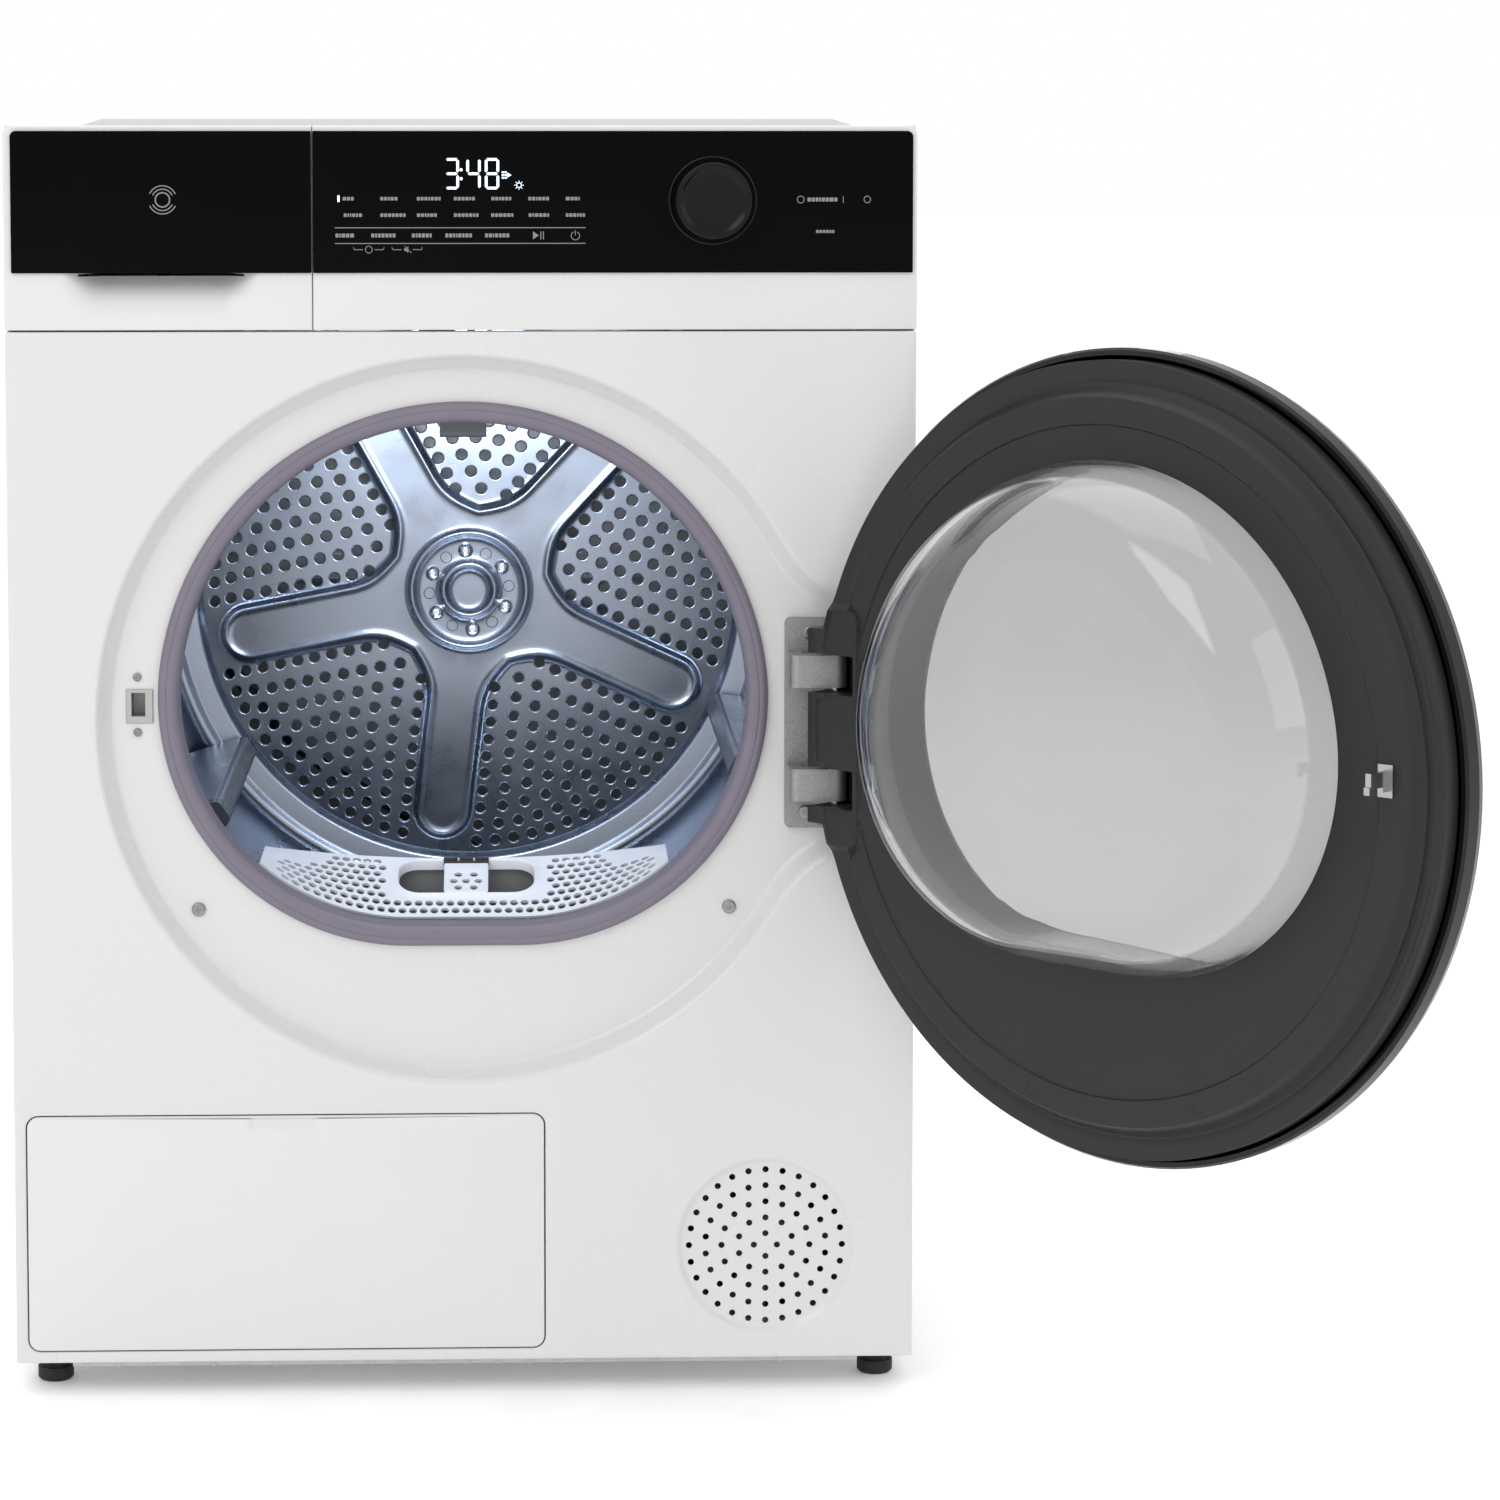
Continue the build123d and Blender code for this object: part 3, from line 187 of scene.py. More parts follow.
# ---- mesh building -------------------------------------------------------------------------------
class Build:
    def __init__(self):
        self.verts, self.faces = [], []

    def add(self, verts, faces):
        n = len(self.verts)
        self.verts += verts
        self.faces += [tuple(i + n for i in f) for f in faces]

    def loft(self, loops, cap_first=False, cap_last=False):
        """Skin through closed loops with equal point counts."""
        n = len(loops[0])
        faces = []
        for row in range(len(loops) - 1):
            a, b = row * n, (row + 1) * n
            for i in range(n):
                j = (i + 1) % n
                faces.append((a + i, b + i, b + j, a + j))
        if cap_first:
            faces.append(tuple(range(n)))
        if cap_last:
            last = (len(loops) - 1) * n
            faces.append(tuple(range(last + n - 1, last - 1, -1)))
        self.add([p for loop in loops for p in loop], faces)

    def turned(self, profile, x, z, n=128, wave=None):
        """Surface of revolution about an axis along Y; profile is (radius, y)."""
        loops = []
        for row, (r, y) in enumerate(profile):
            loop = []
            for k in range(n):
                a = 2 * pi * k / n
                rr = max(r + (wave(row, a) if wave else 0), 0.02)
                loop.append((x + rr * cos(a), y, z + rr * sin(a)))
            loops.append(loop)
        self.loft(loops)

    def box(self, x0, x1, y0, y1, z0, z1):
        loop = [(x0, z0), (x1, z0), (x1, z1), (x0, z1)]
        self.loft([at(loop, y0), at(loop, y1)], True, True)

    def sheet(self, loops, points, keep, depth):
        """Triangulated sheet: outlines and loose points in the front view, kept where keep says."""
        coords, edges = [], []
        for loop in loops:
            n = len(coords)
            coords += loop
            edges += [(n + i, n + (i + 1) % len(loop)) for i in range(len(loop))]
        coords += points
        out = delaunay_2d_cdt([Vector(c) for c in coords], edges, [], 0, 1e-4)
        verts, faces = out[0], out[2]
        kept = []
        for f in faces:
            x = sum(verts[i].x for i in f) / len(f)
            z = sum(verts[i].y for i in f) / len(f)
            if keep(x, z):
                a, b, c = (verts[i] for i in f[:3])
                turn = (b.x - a.x) * (c.y - a.y) - (b.y - a.y) * (c.x - a.x)
                if abs(turn) > 0.004:
                    kept.append(tuple(f) if turn > 0 else tuple(reversed(f)))
        self.add([depth(v.x, v.y) for v in verts], kept)


def bake(obj, angle):
    """Applies the modifiers and marks edges sharper than angle."""
    graph = bpy.context.evaluated_depsgraph_get()
    mesh = bpy.data.meshes.new_from_object(obj.evaluated_get(graph))
    obj.modifiers.clear()
    obj.data = mesh
    mesh.polygons.foreach_set("use_smooth", [True] * len(mesh.polygons))
    mesh.set_sharp_from_angle(angle=radians(angle))


def piece(name, build, material, body="cabinet", nodes=(), place=None, thick=0.0, bevel=0.0,
          angle=40, weld=0.01, levels=0, outward=False):
    """One Blender piece from a Build, on a CAD body and in place of CAD nodes."""
    verts = [place(v) for v in build.verts] if place else build.verts
    mesh = bpy.data.meshes.new(name)
    mesh.from_pydata([P(*v) for v in verts], [], build.faces)
    bm = bmesh.new()
    bm.from_mesh(mesh)
    bmesh.ops.remove_doubles(bm, verts=bm.verts, dist=weld / 1000)
    bmesh.ops.dissolve_degenerate(bm, edges=bm.edges, dist=1e-7)
    loose = [v for v in bm.verts if not v.link_faces]
    bmesh.ops.delete(bm, geom=loose, context="VERTS")
    if outward:
        bmesh.ops.recalc_face_normals(bm, faces=bm.faces)
    bm.to_mesh(mesh)
    bm.free()
    obj = bpy.data.objects.new(name, mesh)
    bpy.context.scene.collection.objects.link(obj)
    mesh.materials.append(material)
    if thick:
        shell = obj.modifiers.new("thickness", "SOLIDIFY")
        shell.thickness = thick / 1000
        shell.offset = -1
    if bevel:
        edge = obj.modifiers.new("edges", "BEVEL")
        edge.width = bevel / 1000
        edge.segments = 3
        edge.limit_method = "ANGLE"
        edge.angle_limit = radians(35)
    if levels:
        sub = obj.modifiers.new("smooth", "SUBSURF")
        sub.levels = sub.render_levels = levels
    bake(obj, angle)
    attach(obj, body)
    if nodes:
        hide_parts(*nodes)
    return obj


# ---- materials -----------------------------------------------------------------------------------
def material(name, colour, rough=0.4, metal=0.0, vary=0.05, scale=18.0, grain=900.0, bump=0.04,
             rough_vary=0.06, stretch=(1, 1, 1), coat=0.0, specular=0.5, detail=3.0, wear=0.0):
    """Procedural finish: patchy colour, uneven gloss and a fine surface grain."""
    mat = bpy.data.materials.new(name)
    mat.use_nodes = True
    nodes, links = mat.node_tree.nodes, mat.node_tree.links
    shader = nodes["Principled BSDF"]
    shader.inputs["Metallic"].default_value = metal
    shader.inputs["Specular IOR Level"].default_value = specular
    shader.inputs["Coat Weight"].default_value = coat
    shader.inputs["Coat Roughness"].default_value = 0.08
    where = nodes.new("ShaderNodeTexCoord")
    squeeze = nodes.new("ShaderNodeMapping")
    squeeze.inputs["Scale"].default_value = stretch
    links.new(where.outputs["Object"], squeeze.inputs["Vector"])
    broad = nodes.new("ShaderNodeTexNoise")
    broad.inputs["Scale"].default_value = scale
    broad.inputs["Detail"].default_value = 4
    fine = nodes.new("ShaderNodeTexNoise")
    fine.inputs["Scale"].default_value = grain
    fine.inputs["Detail"].default_value = detail
    for tex in (broad, fine):
        links.new(squeeze.outputs["Vector"], tex.inputs["Vector"])
    ramp = nodes.new("ShaderNodeValToRGB")
    low = [c * (1 - vary) for c in colour] + [1]
    high = [min(1, c * (1 + vary)) for c in colour] + [1]
    ramp.color_ramp.elements[0].position, ramp.color_ramp.elements[0].color = 0.3, low
    ramp.color_ramp.elements[1].position, ramp.color_ramp.elements[1].color = 0.7, high
    links.new(broad.outputs["Fac"], ramp.inputs["Fac"])
    links.new(ramp.outputs["Color"], shader.inputs["Base Color"])
    gloss = nodes.new("ShaderNodeMapRange")
    gloss.inputs["From Min"].default_value, gloss.inputs["From Max"].default_value = 0.3, 0.7
    gloss.inputs["To Min"].default_value = max(0.02, rough - rough_vary)
    gloss.inputs["To Max"].default_value = rough + rough_vary
    links.new(broad.outputs["Fac"], gloss.inputs["Value"])
    links.new(gloss.outputs["Result"], shader.inputs["Roughness"])
    relief = nodes.new("ShaderNodeBump")
    relief.inputs["Strength"].default_value = bump
    relief.inputs["Distance"].default_value = 0.001
    links.new(fine.outputs["Fac"], relief.inputs["Height"])
    links.new(relief.outputs["Normal"], shader.inputs["Normal"])
    return mat


def glow(name, colour, strength):
    mat = material(name, colour, rough=0.5, vary=0.03)
    shader = mat.node_tree.nodes["Principled BSDF"]
    shader.inputs["Emission Color"].default_value = (*colour, 1)
    shader.inputs["Emission Strength"].default_value = strength
    return mat


def glass(name, colour, rough, ior=1.45):
    mat = material(name, colour, rough=rough, vary=0.01, rough_vary=0.0, bump=0.002, grain=9, detail=0.0)
    shader = mat.node_tree.nodes["Principled BSDF"]
    shader.inputs["Transmission Weight"].default_value = 1.0
    shader.inputs["IOR"].default_value = ior
    return mat


WHITE = material("enamel_white", (0.655, 0.655, 0.651), rough=0.27, vary=0.006, bump=0.012,
                 grain=420, scale=6, coat=0.25, rough_vary=0.02)
PLASTIC = material("moulded_white", (0.682, 0.682, 0.677), rough=0.36, vary=0.006, bump=0.03,
                   grain=2200, scale=8, rough_vary=0.02)
BLACK_GLASS = material("printed_glass", (0.0012, 0.0012, 0.0013), rough=0.06, vary=0.1, bump=0.0,
                       specular=0.05)
KNOB_BLACK = material("knob_lacquer", (0.002, 0.002, 0.0022), rough=0.16, vary=0.15, bump=0.02,
                      specular=0.2)
KNOB_RIM = material("knob_rim", (0.02, 0.02, 0.022), rough=0.2, metal=0.6, vary=0.1)
SEAL = material("seal_rubber", (0.180, 0.160, 0.208), rough=0.5, vary=0.05, bump=0.12, grain=2600,
                scale=30)
STEEL = material("drum_steel", (0.32, 0.355, 0.42), rough=0.29, metal=1.0, vary=0.05, bump=0.03,
                 grain=2600, scale=40, rough_vary=0.04)
SHELL = material("drum_shell_steel", (0.40, 0.445, 0.52), rough=0.2, metal=1.0, vary=0.06, bump=0.05,
                 stretch=(1, 14, 1), grain=500, scale=12)
CHROME = material("bright_screw", (0.74, 0.75, 0.77), rough=0.14, metal=1.0, vary=0.05, bump=0.05,
                  grain=1500)
SCREW = material("zinc_screw", (0.30, 0.295, 0.285), rough=0.3, metal=1.0, vary=0.12, bump=0.1,
                 grain=1500, scale=200)
LILAC = material("filter_plastic", (0.71, 0.73, 0.80), rough=0.42, vary=0.02, bump=0.04, grain=2400)
CREAM = material("filter_frame", (0.62, 0.60, 0.57), rough=0.5, vary=0.04, bump=0.06, grain=2000)
MESH_DARK = material("filter_weave", (0.10, 0.12, 0.14), rough=0.55, vary=0.2, bump=0.2, grain=3000,
                     scale=300)
FRAME = material("door_frame_grey", (0.019, 0.019, 0.0195), rough=0.42, vary=0.06, bump=0.10,
                 specular=0.3, grain=3200, scale=14)
RING = material("door_ring_black", (0.004, 0.004, 0.0044), rough=0.08, vary=0.1, bump=0.0, specular=0.3)
CAST = material("die_cast", (0.33, 0.33, 0.325), rough=0.42, metal=0.75, vary=0.10, bump=0.55, grain=1500,
                scale=420, detail=6)
CLEAR = glass("bowl_glass", (0.95, 0.953, 0.953), 0.015, 1.48)
TINT = glass("tinted_pane", (0.42, 0.42, 0.424), 0.02, 1.2)
GALVANISED = material("galvanised", (0.52, 0.53, 0.54), rough=0.38, metal=0.9, vary=0.05, bump=0.10,
                      grain=90, scale=60)
GREY = material("grey_plastic", (0.23, 0.23, 0.24), rough=0.5, vary=0.06, bump=0.12, grain=1800)
BASE = material("base_plastic", (0.60, 0.60, 0.60), rough=0.5, vary=0.05, bump=0.10, grain=1800)
DARK = material("dark_plastic", (0.022, 0.022, 0.023), rough=0.5, vary=0.1, bump=0.15, grain=1800)
RUBBER = material("foot_rubber", (0.012, 0.012, 0.012), rough=0.7, vary=0.15, bump=0.3, grain=1400)
CATCH = material("catch_metal", (0.42, 0.42, 0.41), rough=0.42, metal=0.5, vary=0.06, bump=0.12,
                 grain=1500)
HOOK = material("hook_chrome", (0.42, 0.42, 0.415), rough=0.24, metal=1.0, vary=0.04, bump=0.02)
LENS = material("lamp_lens", (0.10, 0.11, 0.125), rough=0.15, vary=0.05, bump=0.02)
COPPER = material("copper", (0.72, 0.35, 0.20), rough=0.28, metal=1.0, vary=0.18, bump=0.05, scale=50)
ALU = material("fin_aluminium", (0.72, 0.73, 0.74), rough=0.3, metal=1.0, vary=0.08, bump=0.1,
               stretch=(1, 1, 8))
PAINT = material("compressor_paint", (0.014, 0.014, 0.015), rough=0.35, vary=0.15, bump=0.15, grain=500)
LIFTER = material("lifter_grey_blue", (0.13, 0.145, 0.175), rough=0.32, metal=0.5, vary=0.05, bump=0.04,
                  grain=1800)
BOARD = material("circuit_board", (0.02, 0.12, 0.05), rough=0.4, vary=0.2, bump=0.2, scale=240)
BELT = material("belt_rubber", (0.02, 0.02, 0.02), rough=0.65, vary=0.1, bump=0.4, stretch=(1, 30, 1),
                grain=300)
LIT = glow("lit_segment", (0.72, 0.84, 1.0), 1.0)
# Printed grey marks with a painted glow: a faint emission lights the print by itself, on top of the lamps.
# Used for the display labels and the tank mark.
PRINT_GLOW = glow("printed_grey_glow", (0.20, 0.20, 0.205), 0.10)

CAD_FINISH = {
    "white_steel": WHITE, "white_plastic": PLASTIC, "galvanised": GALVANISED, "black_glass": BLACK_GLASS,
    "base_plastic": BASE, "foot_rubber": RUBBER, "display": DARK, "circuit_board": BOARD,
    "seal_rubber": SEAL, "bulkhead_plastic": GREY, "lamp_lens": LENS, "filter_plastic": LILAC,
    "filter_mesh": MESH_DARK, "catch_metal": CATCH, "hinge_metal": CAST, "screw_metal": SCREW,
    "belt_rubber": BELT, "motor_metal": GALVANISED, "duct_plastic": GREY, "cover_plastic": BASE,
    "fin_aluminium": ALU, "compressor_paint": PAINT, "copper": COPPER, "hose_rubber": BELT,
    "knob_black": KNOB_BLACK, "drum_steel": SHELL, "lifter_plastic": LIFTER, "shaft_steel": CHROME,
    "wheel_plastic": GREY, "tank_plastic": BASE, "door_ring_black": RING, "door_frame_grey": FRAME,
    "door_glass": CLEAR, "window_tint": TINT, "hook_metal": HOOK,
}
for part in frame["record"]["subparts"]:
    node = frame["nodes"][part["node"]]
    node.data.materials.clear()
    node.data.materials.append(CAD_FINISH[part["material_slot"]])


# ---- front sheet ---------------------------------------------------------------------------------
def recess(x, z):
    """Distance inside the round recess and the hinge bay that runs out of it."""
    return soft_max(RECESS_R - hypot(x, z - DOOR_Z), inside_rect(x, z, *BAY, 14), 44)


def front_depth(x, z):
    y = RECESS_DEPTH * smooth(recess(x, z) / 13)
    y += 3 * smooth((59.6 - hypot(x - VENT_X, z - VENT_Z)) / 4.6)
    return (x, y, z)


def front_panel():
    bottom, top = 21.8, 706.1
    corners = (1.5,) * 4
    centres = [(VENT_X + r * cos(pi / 2 + 2 * pi * k / n), VENT_Z + r * sin(pi / 2 + 2 * pi * k / n))
               for r, n in VENT_RINGS for k in range(n)]
    holes = [circle(x, z, 2.15, 12) for x, z in centres]
    outer = rect_loop(-HALF_W, HALF_W, bottom, top, corners, 1.6)
    flap = rect_loop(FLAP[0] - 0.8, FLAP[1] + 0.8, FLAP[2] - 0.8, FLAP[3] + 0.8, (8.4,) * 4, -1.0, 8)
    opening = opening_loop(3.0)
    latch_x0, latch_x1, latch_z0, latch_z1 = LATCH_SLOT
    slot = [(latch_x0, latch_z0), (latch_x1, latch_z0), (latch_x1, latch_z1), (latch_x0, latch_z1)]
    points = []
    for level in (-8, -3, -1, 0, 0.8, 1.8, 3, 4.2, 5.4, 6.6, 7.8, 9, 10.2, 11.4, 12.4, 13, 14, 17):
        for k in range(420):
            a = 2 * pi * k / 420
            low, high = 180.0, 290.0
            for _ in range(22):
                r = (low + high) / 2
                if recess(r * cos(a), DOOR_Z + r * sin(a)) > level:
                    low = r
                else:
                    high = r
            x, z = low * cos(a), DOOR_Z + low * sin(a)
            if inside_opening(x, z, -1) < 0 and abs(x) < 294:
                points.append((x, z))
    for r in (53.7, 55, 56.2, 57.4, 58.6, 59.6, 61, 66):
        points += circle(VENT_X, VENT_Z, r, 120, 0.01)
    for x in range(-290, 291, 20):
        for z in list(range(26, 702, 20)):
            if recess(x, z) < -12 and hypot(x - VENT_X, z - VENT_Z) > 70 and not (x < 62 and z < 197):
                points.append((x, z))

    def keep(x, z):
        if inside_opening(x, z, 3.0) > 0 or (latch_x0 < x < latch_x1 and latch_z0 < z < latch_z1):
            return False
        if inside_rect(x, z, FLAP[0] - 1.8, FLAP[1] + 1.8, FLAP[2] - 1.8, FLAP[3] + 1.8, 9.4) > 0:
            return False
        if hypot(x - VENT_X, z - VENT_Z) < 56 and any(hypot(x - cx, z - cz) < 2.1 for cx, cz in centres):
            return False
        return inside_rect(x, z, -HALF_W + 1.6, HALF_W - 1.6, bottom + 1.6, top - 1.6, 0.15) > 0

    b = Build()
    b.sheet([outer, opening, flap, slot] + holes, points, keep, front_depth)
    rows = [at(outer, 0.0)]
    for inset, y in ((1.0, 0.12), (0.5, 0.45), (0.12, 1.0), (0.0, 1.7), (0.0, 14.5)):
        rows.append(at(rect_loop(-HALF_W, HALF_W, bottom, top, corners, inset), y))
    b.loft(rows)
    rim = [at(flap, 0.0)]
    for inset, y in ((-0.5, 0.15), (-0.1, 0.6), (0.0, 1.2), (0.0, 9.8)):
        loop = rect_loop(FLAP[0] - 0.8, FLAP[1] + 0.8, FLAP[2] - 0.8, FLAP[3] + 0.8, (8.4,) * 4, inset, 8)
        rim.append(at(loop, y))
    b.loft([list(reversed(row)) for row in rim])
    return piece("front_sheet", b, WHITE, nodes=("front_panel",), thick=0.9, angle=50)


# ---- fascia, glass and display -------------------------------------------------------------------
def scoop(x, z):
    """Finger scoop under the tank's glass: deep at the top, running out at the bottom."""
    side = smooth((x + 260) / 26) * smooth((-131 - x) / 26)
    rise = smooth((z - 712) / 12) * 2.2 + 17 * max(0.0, (z - 718) / 24) ** 1.7
    return (x, min(19.5, rise * side) if z > 712 else 0.0, z)


def fascia(name, x0, x1, corners, node, body, scooped):
    z0, z1 = 707.1, 840.0
    outer = rect_loop(x0, x1, z0, z1, corners, 1.2)
    b = Build()
    points = []
    if scooped:
        points = [(-262 + 3.0 * i, 710 + 1.6 * j) for i in range(45) for j in range(21)]
        points += [(-262 + 3.0 * i, 743.8) for i in range(45)]
    hole = circle(KNOB_X, KNOB_Z, 3.4, 16)
    wx0, wx1, wz0, wz1 = DISPLAY_WINDOW
    window = [(wx0, wz0), (wx1, wz0), (wx1, wz1), (wx0, wz1)]
    loops = [outer] if scooped else [outer, hole, window]

    def keep(x, z):
        if not scooped and (hypot(x - KNOB_X, z - KNOB_Z) < 3.3 or (wx0 < x < wx1 and wz0 < z < wz1)):
            return False
        if scooped and -250 < x < -141 and z > 742.4 and z < 744.2:
            return False
        return inside_rect(x, z, x0 + 1.2, x1 - 1.2, z0 + 1.2, z1 - 1.2, max(corners) - 1.2) > -0.3

    b.sheet(loops, points, keep, scoop if scooped else (lambda x, z: (x, 0.0, z)))
    rows = [at(outer, 0.0)]
    for inset, y in ((0.7, 0.1), (0.3, 0.4), (0.05, 0.9), (0.0, 1.4), (0.0, 14.5)):
        rows.append(at(rect_loop(x0, x1, z0, z1, corners, inset), y))
    b.loft(rows)
    return piece(name, b, PLASTIC, body=body, nodes=(node,), thick=2.2, angle=50)


def pane(name, x0, x1, corners, node, body):
    b = Build()
    rows = []
    for inset, y in ((0.7, -2.5), (0.25, -2.35), (0.0, -2.0), (0.0, 0.0)):
        rows.append(at(rect_loop(x0, x1, 744.4, 836.6, corners, inset, 8), y))
    b.loft(rows, True, True)
    return piece(name, b, BLACK_GLASS, body=body, nodes=(node,), angle=30)


SEGMENTS = {"3": "abcdg", "4": "bcfg", "8": "abcdefg"}


def flat(b, loop, y0=-2.60, y1=-2.52):
    b.loft([at(loop, y0), at(loop, y1)], True, False)


def digit(b, char, x, z, w, h, t):
    """Seven-segment figure, lower left at x, z."""
    mid, cut = z + h / 2, t * 0.55
    across = {"a": z + h - t / 2, "g": mid, "d": z + t / 2}
    for name in SEGMENTS[char]:
        if name in across:
            zc = across[name]
            flat(b, [(x + cut, zc), (x + cut + t / 2, zc - t / 2), (x + w - cut - t / 2, zc - t / 2),
                     (x + w - cut, zc), (x + w - cut - t / 2, zc + t / 2), (x + cut + t / 2, zc + t / 2)])
        else:
            xc = x + t / 2 if name in "ef" else x + w - t / 2
            low, high = (mid, z + h) if name in "bf" else (z, mid)
            flat(b, [(xc, low + cut), (xc + t / 2, low + cut + t / 2), (xc + t / 2, high - cut - t / 2),
                     (xc, high - cut), (xc - t / 2, high - cut - t / 2), (xc - t / 2, low + cut + t / 2)])


def ring(b, cx, cz, r, t, start=0.0, sweep=360.0, n=20):
    for k in range(n):
        a0, a1 = radians(start + sweep * k / n), radians(start + sweep * (k + 1) / n)
        flat(b, [(cx + r * cos(a0), cz + r * sin(a0)), (cx + (r + t) * cos(a0), cz + (r + t) * sin(a0)),
                 (cx + (r + t) * cos(a1), cz + (r + t) * sin(a1)), (cx + r * cos(a1), cz + r * sin(a1))])


def dash(b, x0, x1, z, t):
    flat(b, [(x0, z - t / 2), (x1, z - t / 2), (x1, z + t / 2), (x0, z + t / 2)])


def greeked(b, x, z, widths, h=2.3, gap=0.5):
    """Row of small blocks in place of a printed word."""
    for w in widths:
        flat(b, rect_loop(x, x + w, z - h / 2, z + h / 2, (0.35,) * 4, 0.0, 2))
        x += w + gap


def display():
    lit = Build()
    for char, x in (("3", -10.9), ("4", 3.2), ("8", 15.2)):
        digit(lit, char, x, 798.7, 9.3, 20.3, 1.7)
    for z in (805.6, 811.4):
        flat(lit, circle(-0.2, z, 1.0, 12))
    ring(lit, 37.4, 801.4, 1.3, 0.5)
    for k in range(8):
        a = 2 * pi * k / 8
        c, s = cos(a), sin(a)
        flat(lit, [(37.4 + 2.2 * c - 0.2 * s, 801.4 + 2.2 * s + 0.2 * c),
                   (37.4 + 2.2 * c + 0.2 * s, 801.4 + 2.2 * s - 0.2 * c),
                   (37.4 + 3.0 * c + 0.2 * s, 801.4 + 3.0 * s - 0.2 * c),
                   (37.4 + 3.0 * c - 0.2 * s, 801.4 + 3.0 * s + 0.2 * c)])
    for x in (26.2, 28.0):
        for z in (806.2, 808.0, 809.8):
            flat(lit, rect_loop(x, x + 1.4, z - 0.6, z + 0.6, (0.2,) * 4, 0.0, 2))
    flat(lit, [(29.9, 806.4), (32.4, 808.0), (29.9, 809.6)])
    flat(lit, rect_loop(-80.6, -79.2, 790.6, 794.9, (0.3,) * 4, 0.0, 2))
    piece("display_lit", lit, LIT, angle=30)
    words = Build()
    rows = ((792.7, ((-77.2, (2.2, 2, 2)), (-52.8, (2, 2, 1.2, 2, 2)), (-29, (2, 1.8, 2, 1.2, 2, 2, 1.4)),
                     (-5, (2, 2, 2, 2, 1.2, 2)), (19.4, (2, 1.8, 1.2, 2, 2, 1.4)),
                     (43.4, (2, 2, 1, 2, 2, 2)), (67.8, (2.6, 2, 2, 1)))),
            (782.0, ((-76.6, (2, 1, 1, 2, 1.4, 2)), (-52.8, (2, 2, 2, 1.8, 2, 2, 1.6)),
                     (-29, (2, 2, 1.2, 1.4, 2, 1.8)),
                     (-5, (2, 2, 2, 1.8, 2.2, 1.4, 1.6)), (19.2, (2, 2, 2.4, 2, 2.2, 1.4)),
                     (43.6, (2, 1, 2.4, 2, 2.2, 1.2)), (67.8, (1.8, 2, 2, 1.2, 1.4, 1.6)))))
    for z, items in rows:
        for x, widths in items:
            greeked(words, x, z, widths)
    for x, widths in ((-82, (2, 1, 2.4, 2, 2.6)), (-58.8, (2, 1.4, 1.8, 2, 2, 1.6, 2)),
                      (-32.4, (2, 1.2, 1.8, 2, 2, 1.4)),
                      (-10.6, (2, 2, 1.4, 1, 2, 1.6, 2, 1.8)), (15.2, (2, 2, 1, 2, 1.8, 2, 2))):
        greeked(words, x, 768.8, widths, 2.6)
    for z in (773.8, 763.6):
        dash(words, -82.4, 80.7, z, 0.55)
    flat(words, [(46.4, 766.2), (50.2, 768.8), (46.4, 771.4)])
    for x in (51.2, 52.9):
        flat(words, [(x, 766.2), (x + 0.6, 766.2), (x + 0.6, 771.4), (x, 771.4)])
    ring(words, 74.0, 768.6, 2.5, 0.5, 120, 300)
    flat(words, [(73.75, 769), (74.25, 769), (74.25, 772), (73.75, 772)])
    for x0, x1, cx in ((-70.6, -50.2, -60.4), (-45.6, -25.4, -35.5)):
        dash(words, x0 + 0.6, x0 + 6.4, 759.6, 0.45)
        dash(words, x1 - 6.4, x1 - 0.6, 759.6, 0.45)
        flat(words, [(x0, 760.9), (x0 + 0.6, 759.8), (x0 + 0.9, 760.0), (x0 + 0.4, 761.1)])
        flat(words, [(x1 - 0.9, 760.0), (x1 - 0.6, 759.8), (x1, 760.9), (x1 - 0.4, 761.1)])
    ring(words, -60.4, 759.6, 2.0, 0.45)
    flat(words, [(-37.4, 758.8), (-36.4, 758.8), (-34.8, 757.6), (-34.8, 761.6), (-36.4, 760.4),
                 (-37.4, 760.4)])
    flat(words, [(-33.0, 757.4), (-32.5, 757.4), (-37.0, 762.0), (-37.5, 762.0)])
    ring(words, 221.0, 792.0, 2.0, 0.5)
    greeked(words, 225.4, 792.0, (2.4, 2, 2, 1.2, 2, 2, 2.8, 2), 2.6, 0.45)
    dash(words, 248.6, 249.0, 792.0, 4.4)
    ring(words, 264.5, 792.0, 1.9, 0.5)
    greeked(words, 231.0, 771.2, (1.8, 1.8, 1.8, 1.8, 1.4, 1.4), 2.0, 0.4)
    piece("display_print", words, PRINT_GLOW, angle=30)
    mark = Build()
    ring(mark, -194.0, 792.0, 4.2, 0.9, 0, 360, 28)
    for r in (6.6, 8.8):
        ring(mark, -194.0, 792.0, r, 0.7, 25, 130, 18)
        ring(mark, -194.0, 792.0, r, 0.7, 205, 130, 18)
    piece("tank_mark", mark, PRINT_GLOW, body="tank_drawer", angle=30)


